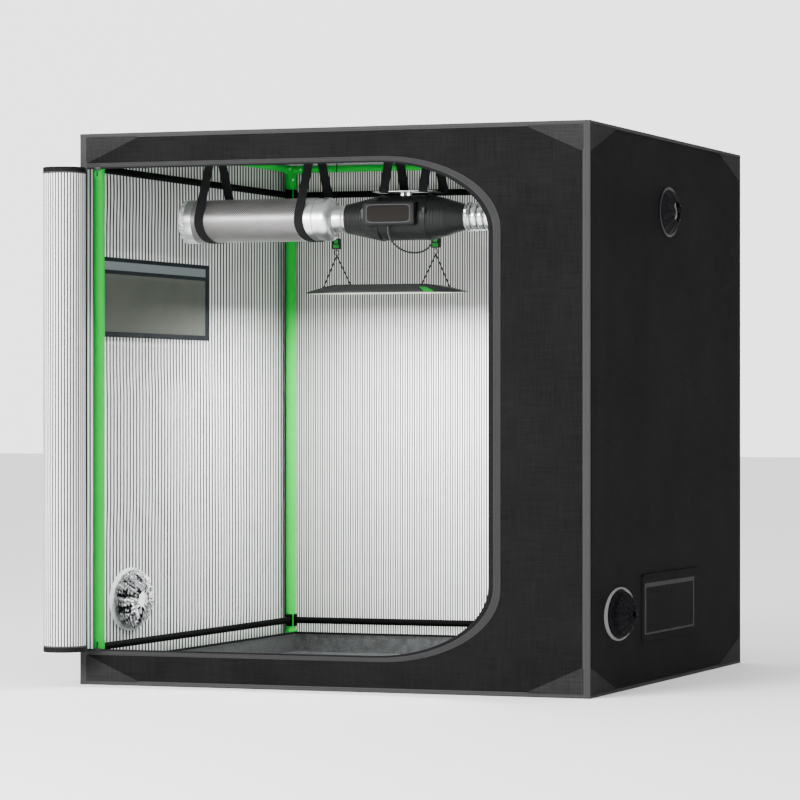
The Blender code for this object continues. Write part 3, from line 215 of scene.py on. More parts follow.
# Poles and rails: steel tube, rolled and seam welded, powder coated a bright gloss green. The ends
# are cut square and plug into the corner fittings. The visible ends have a small broken edge.
pole_radius = 0.0205
rail_radius = 0.0135
tube_sides = 48


def grid(*parts):
    """Points from their coordinates, each a number or an array over the rows and columns."""
    return np.stack(np.broadcast_arrays(*parts), -1)


def run_along(line):
    """Running length of a line of points."""
    return np.concatenate([[0], np.cumsum(np.linalg.norm(np.diff(line, axis=0), axis=1))])


def turned(base, axis, profile, sides, skin=0):
    """Net of a turned form: base + along times the axis + radius times a unit circle round it."""
    axis = np.array(axis, float) / np.linalg.norm(axis)
    side = np.cross(axis, (0, 0, 1) if abs(axis[2]) < 0.9 else (1, 0, 0))
    side /= np.linalg.norm(side)
    along, radius = np.array(profile, float).T[:, :, None]
    angle = np.linspace(0, math.tau, sides + 1)
    ring = np.cos(angle)[:, None] * side + np.sin(angle)[:, None] * np.cross(axis, side)
    points = base + along[..., None] * axis + radius[..., None] * ring
    return points, grid(angle * max(radius.max(), 0.001), run_along(profile)[:, None]), skin


def bar_net(start, end, radius):
    """A plain closed bar between two points."""
    length = np.linalg.norm(end - start)
    profile = [(0, 0), (0, radius), (length / 2, radius), (length, radius), (length, 0)]
    return turned(start, end - start, profile, tube_sides)


def make_piece(name, nets, skins, body, stands_for, finish, outward=None, sharp=38):
    """Joins grids of points into one mesh, with its body and the parts it stands for; the finish is not used.

    Each net is (points, uv in metres, skin number for all its faces or each, below 0 for none). A
    closed net is turned so that its signed volume, the sum of a . (b x c) / 6 over its triangles, is
    positive. An open sheet is turned to face the outward direction instead.
    """
    all_faces, all_slots = [], []
    count = 0
    for points, _, slot in nets:
        rows, cols = points.shape[:2]
        number = np.arange(rows * cols).reshape(rows, cols)
        faces = grid(number[:-1, :-1], number[1:, :-1], number[1:, 1:], number[:-1, 1:]).reshape(-1, 4)
        spots = points.reshape(-1, 3)
        a, b, c, d = (spots[faces[:, k]] - spots.mean(axis=0) for k in range(4))
        if outward is None:
            measure = (a * (np.cross(b, c) + np.cross(c, d))).sum()
        else:
            measure = (np.cross(c - a, d - b) @ np.array(outward)).sum()
        if measure < 0:
            faces = faces[:, ::-1]
        slots = np.broadcast_to(slot, (rows - 1, cols - 1)).reshape(-1)
        all_faces.append(faces[slots >= 0] + count)
        all_slots.append(slots[slots >= 0])
        count += rows * cols
    faces = np.concatenate(all_faces)
    points, uvs = (np.concatenate([net[k].reshape(-1, 3 - k) for net in nets]) for k in (0, 1))
    mesh = bpy.data.meshes.new(name)
    mesh.vertices.add(len(points))
    mesh.vertices.foreach_set("co", points.astype(np.float32).ravel())
    mesh.loops.add(faces.size)
    mesh.loops.foreach_set("vertex_index", faces.astype(np.int32).ravel())
    mesh.polygons.add(len(faces))
    mesh.polygons.foreach_set("loop_start", np.arange(0, faces.size, 4, dtype=np.int32))
    mesh.polygons.foreach_set("material_index", np.concatenate(all_slots).astype(np.int32))
    mesh.update(calc_edges=True)
    mesh.uv_layers.new(name="metres").data.foreach_set("uv", uvs[faces.ravel()].astype(np.float32).ravel())
    form = bmesh.new()
    form.from_mesh(mesh)
    bmesh.ops.remove_doubles(form, verts=form.verts, dist=2e-6)
    bmesh.ops.dissolve_degenerate(form, edges=form.edges, dist=1e-7)
    form.to_mesh(mesh)
    form.free()
    for skin in skins:
        mesh.materials.append(skin)
    mesh.polygons.foreach_set("use_smooth", np.ones(len(mesh.polygons), bool))
    mesh.set_sharp_from_angle(angle=math.radians(sharp))
    piece = put_in(name, mesh)
    if body:
        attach(piece, body)
    if stands_for:
        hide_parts(*stands_for)
    return piece


def powder_coat(name, colour, roughness, gloss):
    """Powder coating: fine orange peel, a slow drift of gloss, and faint rubbing marks."""
    skin = Skin(name)
    tone = skin.mix(skin.spread(skin.noise(4, 2), 0.3, 0.7), colour, np.multiply(colour, 0.9))
    return skin.dress(tone, (skin.noise(60, 5, 0.65), 0.3, 0.75, roughness * 0.92, roughness * 1.15),
                      skin.noise(700, 2), 0.0001, 0.35, gloss)


green_coat = powder_coat("gloss_green_coat", (0.0, 0.5, 0.045), 0.5, 0.06)
tubes = [(f"upright_{corner}", f"pole_{corner}", pole_radius)
         for corner in ("front_left", "front_right", "rear_left", "rear_right")]
tubes += [(f"{rail}_tube", rail, rail_radius)
          for rail in ("top_rail_left", "top_rail_right", "top_rail_front", "top_rail_rear",
                       "bottom_rail_left", "bottom_rail_right")]
broken = 0.0012
for name, node, radius in tubes:
    low, high = (np.array(corner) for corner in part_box(node))
    reach = (high - low) / 2 * (high - low > 0.1)
    start, length = (low + high) / 2 - reach, 2 * reach.max()
    end = [(0, radius - broken), (broken * 0.3, radius - broken * 0.3), (broken, radius)]
    profile = [(0, 0), *end, *((length * k / 12, radius) for k in range(1, 12)),
               *((length - along, size) for along, size in end[::-1]), (length, 0)]
    make_piece(name, [turned(start, reach, profile, tube_sides)], [green_coat], "tent", [node],
               "green_enamel")


# Corner fittings: three pressed steel sockets welded at right angles, powder coated with the tubes.
# Each socket has a rolled lip, and a press rivet holds the tube inside it; the rivet's bright metal is painted
# a flat pale grey that also stands for its glint, a painted highlight.
fit_gap = 0.0003
socket_wall = 0.0028
pole_place = 0.9345
top_rail_z = 2.0119
low_rail_z = 0.0198
# Painted highlight: the rivets' pale flat colour stands for the glint on their bright metal.
rivet_painted_glint = Skin("pale_rivet_painted_glint")
rivet_painted_glint = rivet_painted_glint.dress((0.7, 0.72, 0.7, 1), 0.25, rivet_painted_glint.noise(900, 2), 0.0001, 0.4)


def socket_net(place, axis, radius):
    """A closed sleeve from the fitting's middle outwards, with a rolled lip at its mouth."""
    reach, bore = 0.075, radius + 0.0002
    outer = radius + fit_gap + socket_wall
    lip = outer + 0.0011
    profile = [(-outer * 0.55, 0), (-outer * 0.5, outer * 0.5), (-outer * 0.2, outer * 0.9), (0, outer),
               (reach * 0.5, outer), (reach - 0.006, outer), (reach - 0.005, lip), (reach - 0.001, lip),
               (reach, outer), (reach, bore), (reach - 0.02, bore), (reach - 0.02, 0)]
    return turned(place, axis, profile, 40)


def rivet_net(place, axis, radius):
    """A low round button: a quarter circle turned about its axis."""
    turn = np.linspace(0, math.pi / 2, 7)
    dome = zip(0.35 * radius * np.sin(turn), radius * np.cos(turn))
    return turned(place, axis, [(-0.001, 0), (-0.001, radius), *dome], 20, 1)


def fitting_nets(over, back, up, height):
    """Three sockets that meet at a corner, then a rivet near the mouth of each."""
    middle = np.array((over * pole_place, back * pole_place, height))
    # Each socket: its way, its tube's radius, and its rivet's side, distance and radius.
    sockets = (((0, 0, up), pole_radius, (-over, -back, 0), 0.042, 0.0045),
               ((-over, 0, 0), rail_radius, (0, -back, 0), 0.05, 0.0038),
               ((0, -back, 0), rail_radius, (-over, 0, 0), 0.05, 0.0038))
    nets = [socket_net(middle, way, radius) for way, radius, *_ in sockets]
    for way, radius, face, step, button in sockets:
        face = np.array(face) / np.linalg.norm(face)
        spot = middle + np.array(way) * step + face * (radius + fit_gap + socket_wall)
        nets.append(rivet_net(spot, face, button))
    return nets


for end, back in (("front", -1), ("rear", 1)):
    for side, over in (("left", -1), ("right", 1)):
        make_piece(f"three_way_{end}_{side}", fitting_nets(over, back, -1, top_rail_z),
                   [green_coat, rivet_painted_glint], "tent", [f"corner_fitting_{end}_{side}"], "green_enamel")
for end, back in (("front", -1), ("rear", 1)):
    start = np.array((0.005 - pole_place, back * pole_place, low_rail_z))
    bar = bar_net(start, start * (-1, 1, 1), rail_radius)
    nets = fitting_nets(-1, back, 1, low_rail_z) + fitting_nets(1, back, 1, low_rail_z) + [bar]
    make_piece(f"bottom_{end}_bar", nets, [green_coat, rivet_painted_glint], "tent", [f"bottom_rail_{end}"],
               "green_enamel")


# Brace bars: black powder coated tube between the poles, under the roof and near the floor. Each end
# is a pressed saddle plate that hugs its pole.
black_coat = powder_coat("black_powder_coat", (0.0025, 0.0025, 0.0027), 0.7, 0.02)


def bent_plate(turn, inner, wall, width, level, draw, whole):
    """Plate bent to an arc: its closed section at six levels across its width, drawn in at both ends.

    A point p of the section at share s is c + s (p - c). Here c is the middle of the whole section,
    or else the middle of the plate's wall next to p. Gives the section's points and the levels.
    """
    arc = grid(np.cos(turn), np.sin(turn))
    ring = np.concatenate([(inner + wall) * arc, inner * arc[::-1], (inner + wall) * arc[:1]])
    centre = (inner + wall / 2) * np.concatenate([arc, arc[::-1], arc[:1]])
    if whole:
        centre = centre[len(arc) // 2]
    section = centre + (ring - centre) * np.array([0, draw, 1, 1, draw, 0])[:, None, None]
    return section, width * np.array([-0.5, -0.5, -level, level, 0.5, 0.5])[:, None]


def saddle_net(pole, facing, height):
    """Part of a ring round a pole, 38 degrees to both sides of the way it faces."""
    turn = facing + np.radians(np.linspace(-38, 38, 15))
    section, levels = bent_plate(turn, pole_radius + fit_gap, saddle_wall, 0.05, 0.47, 0.97, True)
    points = grid(section[..., 0] + pole[0], section[..., 1] + pole[1], height + levels)
    return points, points[..., :2], 0


saddle_wall = 0.003
for level, height in (("upper", 1.905), ("lower", 0.136)):
    for side, start, end, ways in (("left", (-1, -1), (-1, 1), (math.pi / 2, -math.pi / 2)),
                                   ("right", (1, -1), (1, 1), (math.pi / 2, -math.pi / 2)),
                                   ("rear", (-1, 1), (1, 1), (0, math.pi))):
        a, b = (np.array((*spot, 0)) * pole_place + (0, 0, height) for spot in (start, end))
        inset = (b - a) / np.linalg.norm(b - a) * (pole_radius + fit_gap + saddle_wall / 2)
        nets = [bar_net(a + inset, b - inset, rail_radius)]
        nets += [saddle_net(spot, way, height) for spot, way in zip((a, b), ways)]
        make_piece(f"brace_{level}_{side}", nets, [black_coat], "tent", [f"{level}_brace_{side}"],
                   "black_enamel")


# Hanging bars: two black coated tubes across the tent under its roof. A bent plate hook at each end
# sits over the side rail, so the bar lifts off or slides along.
bar_radius = 0.0125
hook_wall = 0.0022
filter_y, lamp_y = -0.45, -0.12


def hook_net(over, back):
    """A strip bent round the side rail, from -50 to 140 degrees and 30 mm wide in y."""
    turn = np.radians(np.linspace(-50, 140, 33))
    section, levels = bent_plate(turn, rail_radius + fit_gap, hook_wall, 0.03, 0.46, 0.8, False)
    points = grid(over * (pole_place - section[..., 0]), back + levels, top_rail_z + section[..., 1])
    return points, points[..., :2], 0


for name, back, body in (("filter_hanging_bar", filter_y, "tent"), ("lamp_hanging_bar", lamp_y, "lamp_bar")):
    start = np.array((-(pole_place - rail_radius - fit_gap - hook_wall / 2), back, top_rail_z))
    nets = [bar_net(start, start * (-1, 1, 1), bar_radius)] + [hook_net(over, back) for over in (-1, 1)]
    make_piece(f"{name}_tube", nets, [black_coat], body, [name], "black_enamel")


# Cover cloth: black oxford cloth outside, and a foil lining with fine upright ribs inside, cut as
# flat panels. The right and left walls have a cut-out for their screen and oval ones for the ports.
wall_face = 0.986
wall_end = 0.9837
wall_low = 0.0038
wall_high = 2.0282
roof_face = 2.0305
cloth_thick = 0.0018
cloth_give = 0.004
panel_step = 0.024
port_margin = 0.02


def woven(skin, pitch):
    """Height of a plain weave: the product of two sines, from 0 to 1."""
    _, across, along = skin.flat()
    return skin.lifted(skin.maths("MULTIPLY", skin.wave(across, pitch), skin.wave(along, pitch)))


def oxford(name, colour, pitch=0.0016, fold=0.006, roughness=0.72):
    """Coated oxford cloth: plain weave, thick and thin threads both ways, wear and slow wrinkles."""
    skin = Skin(name)
    flat = skin.flat()[0]
    weave = woven(skin, pitch)
    threads = [skin.drawn(flat, sizes, 4, 0.7) for sizes in ((190, 7, 1), (7, 190, 1))]
    worn = skin.maths("MULTIPLY_ADD", weave, 0.3, skin.noise(2.2, 5, 0.6))
    uneven = skin.maths("MULTIPLY_ADD", skin.maths("ADD", *threads), 1.3, worn)
    tone = skin.mix(skin.spread(uneven, 1.35, 2.55), np.multiply(colour, 0.55), np.multiply(colour, 2.1))
    height = skin.maths("ADD", skin.maths("MULTIPLY", weave, 0.06), skin.noise(5, 4, 0.5))
    return skin.dress(tone, (skin.noise(420, 3, 0.7), 0.35, 0.7, roughness - 0.12, roughness + 0.12),
                      height, fold, 0.6, 0.02)


def foil_lining(name, ridge=0.0105, bright=(0.88, 0.89, 0.88), dark=(0.015, 0.016, 0.015)):
    """Reflective lining: upright pressed ribs, white on their faces, with painted shade near black in the
    grooves.
    """
    skin = Skin(name)
    white, soft = 0.52, 0.16
    across = skin.maths("MULTIPLY", skin.flat()[1], math.tau / ridge)
    rib = skin.lifted(skin.maths("SINE", skin.maths("MULTIPLY_ADD", skin.noise(3.5, 3, 0.5), 0.9, across)))
    crease = skin.noise(16, 5, 0.6)
    edge = 0.57 - 0.5 * math.sin(math.pi * (white - 0.5))
    # Painted shade: the grooves between the ribs and the creases are coloured dark where shade falls.
    lit = skin.spread(skin.maths("MULTIPLY_ADD", crease, 0.14, rib), edge - soft, edge + soft)
    return skin.dress(skin.mix(lit, dark, bright), (lit, 0, 1, 0.55, 0.42),
                      skin.maths("MULTIPLY_ADD", crease, 0.7, rib), 0.0006, 0.5, 0.25)


black_cloth = oxford("black_oxford_cloth", (0.0052, 0.0052, 0.0054))
patch_cloth = oxford("doubled_black_cloth", (0.0135, 0.0135, 0.0138), roughness=0.66)
# Both foil linings carry painted shade in their rib grooves.
lining = foil_lining("ribbed_foil_lining")
side_lining = foil_lining("side_foil_lining", 0.029)


def smooth_share(value):
    """3 t^2 - 2 t^3 with t held between 0 and 1."""
    t = np.clip(value, 0, 1)
    return t * t * (3 - 2 * t)


def slack(across, up, near, seed):
    """How far cloth gives inwards: a sum of slow waves times its depth, nothing near a seam."""
    wave = (np.sin(2.3 * across + 1.7 * up + seed) + 0.6 * np.sin(5.1 * across - 3.2 * up + 2 * seed)
            + 0.35 * np.sin(11 * across + 1.3 * up + 3 * seed) + 0.25 * np.sin(17 * up - 4 * across))
    return cloth_give * (0.5 + 0.22 * wave) * smooth_share((near - 0.06) / 0.14)


def lines_between(start, end, special):
    """Even places from start to end that also pass through the special ones."""
    even = np.linspace(start, end, round((end - start) / panel_step) + 1)
    kept = [x for x in even[1:-1] if all(abs(x - s) > 0.4 * panel_step for s in special)]
    return np.array(sorted([start, end, *kept, *special]))


def panel_nets(place, ends, windows, ports, seed):
    """Open grid over a wall with its window cells left out, and rings that run to each oval port.

    A ring's rows go from the square's edge e to the oval's edge o as (1 - s) e + s o.
    """
    low_u, high_u, low_v, high_v = ends
    squares = [(u - a - port_margin, u + a + port_margin, v - b - port_margin, v + b + port_margin)
               for u, v, a, b in ports]
    cuts = windows + squares
    across = lines_between(low_u, high_u, [x for cut in cuts for x in cut[:2]])
    up = lines_between(low_v, high_v, [x for cut in cuts for x in cut[2:]])

    def shaped(u, v):
        near = np.minimum.reduce([u - low_u, high_u - u, v - low_v, high_v - v])
        for a, b, c, d in cuts:
            away = np.hypot(np.maximum(np.maximum(a - u, u - b), 0), np.maximum(np.maximum(c - v, v - d), 0))
            near = np.minimum(near, away - 0.035)
        return place(u, v, slack(u, v, np.maximum(near, 0), seed)), grid(u, v)

    middle_u, middle_v = np.meshgrid((across[:-1] + across[1:]) / 2, (up[:-1] + up[1:]) / 2)
    slots = np.zeros(middle_u.shape, int)
    for a, b, c, d in cuts:
        slots[(middle_u > a) & (middle_u < b) & (middle_v > c) & (middle_v < d)] = -1
    nets = [(*shaped(*np.meshgrid(across, up)), slots)]
    for (a, b, c, d), (u, v, half_u, half_v) in zip(squares, ports):
        inner_u = across[(across >= a - 1e-9) & (across <= b + 1e-9)]
        inner_v = up[(up >= c - 1e-9) & (up <= d + 1e-9)]
        edge = np.array([(x, c) for x in inner_u[:-1]] + [(b, y) for y in inner_v[:-1]]
                        + [(x, d) for x in inner_u[:0:-1]] + [(a, y) for y in inner_v[:0:-1]] + [(a, c)])
        side_u, side_v = (edge - (u, v)).T / np.add((half_u, half_v), port_margin)[:, None]
        turn = np.arctan2(side_v, side_u)
        oval = grid(u + half_u * np.cos(turn), v + half_v * np.sin(turn))
        share = np.linspace(0, 1, 5)[:, None, None]
        ring = (1 - share) * edge + share * oval
        nets.append((*shaped(ring[..., 0], ring[..., 1]), 0))
    return nets


def on_wall(side, way, u, v, deep):
    """Place on a side wall, or on the front or rear one, at (u, v) and this far inside its face."""
    face = way * (wall_face - deep)
    return grid(face, u, v) if side else grid(u, face, v)


def cloth_panel(name, nets, outward, node, inside=lining):
    """One lined panel of the cover, thickened on the side away from where it faces."""
    piece = make_piece(name, nets, [black_cloth, inside], "tent", [node], "black_oxford_cloth", outward)
    layer = piece.modifiers.new("thickness", "SOLIDIFY")
    layer.thickness = cloth_thick
    layer.offset = -1
    layer.use_even_offset = True
    layer.material_offset = 1
    layer.material_offset_rim = 0


# Cut-outs: a window as its front, rear, low and high edges, a port as its middle and half sizes.
window_hole = (-0.8, 0.2, 1.287, 1.587)
vent_hole = (-0.334, 0.316, 0.186, 0.376)
upper_port = (-0.017, 1.755, 0.118, 0.0865)
lower_port = (-0.635, 0.28, 0.125, 0.083)
left_port = (-0.553, 0.294, 0.15, 0.11)
for side, way, hole, ports, seed in (("left", -1, window_hole, [left_port], 0.4),
                                     ("right", 1, vent_hole, [upper_port, lower_port], 1.9)):
    nets = panel_nets(lambda u, v, give: on_wall(True, way, u, v, give),
                      (-wall_end, wall_end, wall_low, wall_high), [hole], ports, seed)
    cloth_panel(f"{side}_side_panel", nets, (way, 0, 0), f"{side}_wall",
                side_lining)
cloth_panel("rear_panel", panel_nets(lambda u, v, give: on_wall(False, 1, u, v, give),
                                     (-wall_face, wall_face, wall_low, wall_high), [], [], 2.6),
            (0, 1, 0), "rear_wall")
cloth_panel("roof_cloth", panel_nets(lambda u, v, give: grid(u, v, roof_face - give * 0.6),
                                     (-wall_face, wall_face, -wall_face, wall_face), [], [], 3.3),
            (0, 0, 1), "roof_panel")


# Floor cloth: the same lined cloth, flat on the ground and doubled where it is sewn.
def shell_net(outer, inner, uv, face=0, back=0, rim=0):
    """Closed band between two grids whose rows are rings: over one face and back over the other."""
    cells = (len(outer) - 1, outer.shape[1] - 1)
    rims = np.full((1, cells[1]), rim)
    slots = np.concatenate([np.broadcast_to(face, cells), rims, np.broadcast_to(back, cells)[::-1], rims])
    return (np.concatenate([outer, inner[::-1], outer[:1]]), np.concatenate([uv, uv[::-1], uv[:1]]), slots)


def two_sided(outer, inner, uv, face=0, back=0, rim=0):
    """Closed sheet between two grids: its rows run round both faces, and its two end rows close.

    An end row is the middle line between the two faces.
    """
    face, back = (np.transpose(slot) if np.ndim(slot) else slot for slot in (face, back))
    points, uv, slots = (part.swapaxes(0, 1) for part in shell_net(
        *(part.swapaxes(0, 1) for part in (outer, inner, uv)), face, back, rim))
    ends = [(points[k, :-1] + points[k, -2::-1]) / 2 for k in (0, -1)]
    first, last = (np.concatenate([end, end[:1]])[None] for end in ends)
    return (np.concatenate([first, points, last]), np.concatenate([uv[:1], uv, uv[-1:]]),
            np.concatenate([slots[:1], slots, slots[-1:]]))


doubled = 0.9752
floor_edges = np.array([-wall_face, -doubled, *np.linspace(-0.94, 0.94, 60), doubled, wall_face])
floor_u, floor_v = np.meshgrid(floor_edges, floor_edges)
under = np.where(np.maximum(abs(floor_u), abs(floor_v)) <= doubled + 0.0001, 0.0, 0.0015)
over = 0.0035 - 0.0003 * (0.5 + 0.5 * np.sin(9 * floor_u + 4 * floor_v))
floor_net = two_sided(grid(floor_u, floor_v, over), grid(floor_u, floor_v, under), grid(floor_u, floor_v), 1)
floor_cloth = make_piece("floor_cloth", [floor_net], [black_cloth, lining], "tent", ["floor_panel"],
                         "black_oxford_cloth")


# Front panel: one sheet round the big D-shaped doorway, which reaches the left corner. Rings of the
# grid run from the doorway's edge out to the panel's edge.
door_left, door_right = -0.9595, 0.609
door_low, door_top = 0.132, 1.901
door_run, door_rise = 0.437, 0.257


def doorway(right, top, bottom, run, rise, corner=16, side=44):
    """Doorway outline from its lower left end, round two quarter ovals, to its upper left end."""
    turn = np.linspace(0, math.pi / 2, corner + 1)
    low = grid(np.linspace(door_left, right - run, side + 1), bottom)[:-1]
    curve = grid(right - run + run * np.sin(turn), bottom + rise - rise * np.cos(turn))
    upright = grid(right, np.linspace(bottom + rise, top - rise, side + 1)[1:-1])
    lower = np.concatenate([low, curve])
    return np.concatenate([lower, upright, (0, top + bottom) + lower[::-1] * (1, -1)])


hole_line = doorway(door_right, door_top, door_low, door_run, door_rise)
flat_end = door_right - door_run
bend_low, bend_high = door_low + door_rise, door_top - door_rise
reach_low = wall_face - flat_end
target = []
for x, z in hole_line:
    low_side, high_side = z <= bend_low, z >= bend_high
    if x > flat_end and (low_side or high_side):
        turn = math.asin(min(1, max(0, (x - flat_end) / door_run))) / (math.pi / 2)
        distance = turn * (reach_low + (bend_low - wall_low if low_side else wall_high - bend_high))
        rise = max(0, distance - reach_low)
        level = wall_low + rise if low_side else wall_high - rise
        target.append((min(wall_face, flat_end + distance), level))
    else:
        target.append((x, wall_low) if low_side else (x, wall_high) if high_side else (wall_face, z))
left_spots = [((door_left, door_top), (-wall_face, z)) for z in (wall_high, door_top)]
left_spots += [((door_left, z), (-wall_face, z)) for z in np.linspace(door_top, door_low, 60)[1:-1]]
left_spots += [((door_left, door_low), (-wall_face, z)) for z in (door_low, wall_low)]
left_spots += [((door_left, door_low), (door_left, wall_low))]
around = np.array([*hole_line, *(spot for spot, _ in left_spots)])
target = np.array([*target, *(far for _, far in left_spots)])
for level in (wall_low, wall_high):
    nearest = np.argmin(np.hypot(target[:, 0] - wall_face, target[:, 1] - level))
    target[nearest] = (wall_face, level)
share = np.linspace(0, 1, 27)[:, None, None]
ring = (1 - share) * around + share * target
x, z = ring[..., 0], ring[..., 1]
near = np.minimum.reduce([np.hypot(*(target - around).T) * share[..., 0] - 0.05, wall_face - abs(x),
                          z - wall_low, wall_high - z])
front_net = (on_wall(False, -1, x, z, slack(x, z, np.maximum(near, 0), 0.9)), ring, 0)
step_x, step_z = np.diff(np.append(hole_line, hole_line[:1], 0), axis=0).T
cloth_panel("front_cloth", [front_net], (0, -1, 0), "front_panel")


# Corner patches: a triangle of doubled cloth sewn over every corner of the four walls, with its
# edge folded under and stitched.
def triangle_net(side, way, corner, along, up, seed):
    """Raised triangle on a wall's cloth: corner + s along + t (1 - s) up, from its seams to its tip."""
    s = np.linspace(0, 1, 25)[:, None]
    t = np.linspace(0, 1, 13)[None, :]
    u, v = np.broadcast_arrays(corner[0] + s * along, corner[1] + t * (1 - s) * up)
    give = slack(u, v, np.minimum.reduce([wall_face - abs(u), v - wall_low, wall_high - v]), seed)
    inside = np.minimum.reduce(np.broadcast_arrays(t * (1 - s), (1 - t) * (1 - s), s))
    lift = 0.0009 + 0.0004 * smooth_share(inside / 0.06)
    front, rear = (on_wall(side, way, u, v, deep) for deep in (give - lift, give + 0.001))
    return two_sided(front, rear, grid(u, v))


# Each patch: on a side wall or not, its corner's place, its length and its height.
patch_sizes = ((True, 0.983, 0.337, 0.106), (False, 0.985, 0.262, 0.1165))
patch_nets = []
for way, seeds in ((-1, (0.4, 0.9)), (1, (1.9, 2.6))):
    for end in (-1, 1):
        for level, up in ((wall_low, 1), (wall_high, -1)):
            patch_nets += [triangle_net(side, way, (end * corner, level), -end * long, up * tall, seed)
                           for (side, corner, long, tall), seed in zip(patch_sizes, seeds)]
make_piece("corner_patches", patch_nets, [patch_cloth], "tent", [], "black_oxford_cloth")


# Edge binding: grey woven tape folded over all twelve seams and sewn down with two rows of stitches.
def ribbed_tape(name, colour, rib=0.0021, stitch=True):
    """Woven tape: ribs along its length and small even stitches."""
    skin = Skin(name)
    _, across, along = skin.flat()
    ribs = skin.lifted(skin.wave(along, rib))
    wear = skin.noise(14, 4, 0.6)
    share = skin.spread(skin.maths("MULTIPLY_ADD", wear, 0.8, ribs), 0.4, 1.5)
    tone = skin.mix(share, colour, np.minimum(1, np.multiply(colour, 1.35)))
    height = skin.maths("MULTIPLY_ADD", wear, 0.3, ribs)
    if stitch:
        dash = skin.maths("GREATER_THAN", skin.wave(along, 0.0045), -0.35)
        off_row = skin.maths("ABSOLUTE", skin.maths("SUBTRACT", skin.maths("ABSOLUTE", across), 0.0045))
        thread = skin.maths("MULTIPLY", dash, skin.maths("LESS_THAN", off_row, 0.0006))
        tone = skin.mix(thread, tone, np.multiply(colour, 0.35))
        height = skin.maths("SUBTRACT", height, thread)
    return skin.dress(tone, (wear, 0.3, 0.7, 0.7, 0.88), height, 0.0003, 0.8, 0.15)


grey_tape = ribbed_tape("grey_edge_tape", (0.027, 0.027, 0.028))


def binding_net(corner, along, first, first_wide, second, second_wide, depth, length):
    """Folded tape along an edge: two flat wings and a rounded fold, from one end to the other.

    Across the tape the line is wing, quarter circle of 1.5 mm, wing. The back is 1.2 mm lower.
    """
    fold = 0.0015
    turn = np.linspace(0, math.pi / 2, 6)[1:-1]
    line = np.concatenate([grid(np.linspace(first_wide, fold, 6), 0.0),
                           grid(fold - fold * np.sin(turn), fold - fold * np.cos(turn)),
                           grid(0.0, np.linspace(fold, second_wide, 4))])
    hem = np.zeros((len(line), 1))
    hem[[0, -1]] = 0.0005
    run = run_along(line)
    rows = np.linspace(0, length, max(2, round(length / 0.03)))[:, None]

    def lay(points):
        return (np.array(corner) + rows[..., None] * along + points[:, :1] * np.array(first)
                + points[:, 1:] * np.array(second))
    return two_sided(lay(line + depth + hem), lay(line + depth + 0.0012), grid(run - run[3], rows))


edge, edge_high = 0.9875, 2.032
both = (-1, 1)
levels = ((0.0, 1), (edge_high, -1))
tape_nets = [binding_net((x * edge, y * edge, 0.0002), (0, 0, 1), (-x, 0, 0), 0.027, (0, -y, 0), 0.007, 0.0,
                         edge_high - 0.0004) for x in both for y in both]
tape_nets += [binding_net((-edge, y * edge, z), (1, 0, 0), (0, 0, up), 0.0155, (0, -y, 0), 0.012, 0.0001,
                          2 * edge) for y in both for z, up in levels]
tape_nets += [binding_net((x * edge, -edge, z), (0, 1, 0), (0, 0, up), 0.011, (-x, 0, 0), 0.012, 0.0002,
                          2 * edge) for x in both for z, up in levels]
make_piece("edge_binding", tape_nets, [grey_tape], "tent", ["edge_tape"], "grey_edge_tape")


# Doorway edge: a band of the same grey tape round the doorway, then the dark tape of the zip with
# its coil of teeth. The band runs from corner to corner of the left edge.
def strip_between(outside, inside, front, thick, shares):
    """Flat band between two outlines, read at shares of the way from one to the other."""
    shares = np.array(shares)
    columns = outside[:, None] + shares[:, None] * (inside - outside)[:, None]
    x, z = columns[..., 0], columns[..., 1]
    uv = grid((shares - 0.5) * np.hypot(*(inside - outside).T)[:, None], run_along(outside)[:, None])
    lift = 0.0004 * (1 - smooth_share(np.minimum(shares, 1 - shares) / 0.12))
    return two_sided(grid(x, front + lift, z), grid(x, front + thick, z), uv)


outer_line = doorway(door_right + 0.046, door_top + 0.022, door_low - 0.022, 0.46, 0.268)
inner_line = doorway(door_right + 0.018, door_top + 0.006, door_low - 0.006, 0.446, 0.26)
door_tape = ribbed_tape("doorway_tape", (0.018, 0.018, 0.0185))
band = strip_between(outer_line, inner_line, -0.9881, 0.0012, (0, 0.06, 0.2, 0.5, 0.8, 0.94, 1))
make_piece("doorway_band", [band], [door_tape], "tent", ["door_edge_band"], "grey_edge_tape")

zip_skin = Skin("zip_tape")
zip_ribs = zip_skin.lifted(zip_skin.wave(zip_skin.flat()[2], 0.0026))
zip_tone = zip_skin.mix(zip_ribs, (0.003, 0.0028, 0.0034), (0.008, 0.0076, 0.009))
zip_skin = zip_skin.dress(zip_tone, (zip_skin.noise(60, 4), 0.3, 0.7, 0.5, 0.75), zip_ribs, 0.0003, 0.8, 0.06)
coil_wide, coil_high = 0.0022, 0.0011
coil_line = (inner_line + hole_line) / 2
coil_turn = np.linspace(0, math.tau, 9)
coil_way = np.gradient(coil_line, axis=0)
coil_side = grid(coil_way[:, 1], -coil_way[:, 0]) / np.hypot(*coil_way.T)[:, None]
coil_spots = coil_line[:, None] + coil_side[:, None] * (coil_wide * np.cos(coil_turn))[:, None]
coil = grid(coil_spots[..., 0], -0.9877 - coil_high * np.sin(coil_turn), coil_spots[..., 1])
coil_uv = grid(0.001 * coil_turn, run_along(coil_line)[:, None])


def capped(points, uv, first, last):
    """A tube's rings with one more at each end, drawn in to a point there."""
    first, last = (np.broadcast_to(spot, (1, *points.shape[1:])) for spot in (first, last))
    return np.concatenate([first, points, last]), np.concatenate([uv[:1], uv, uv[-1:]])


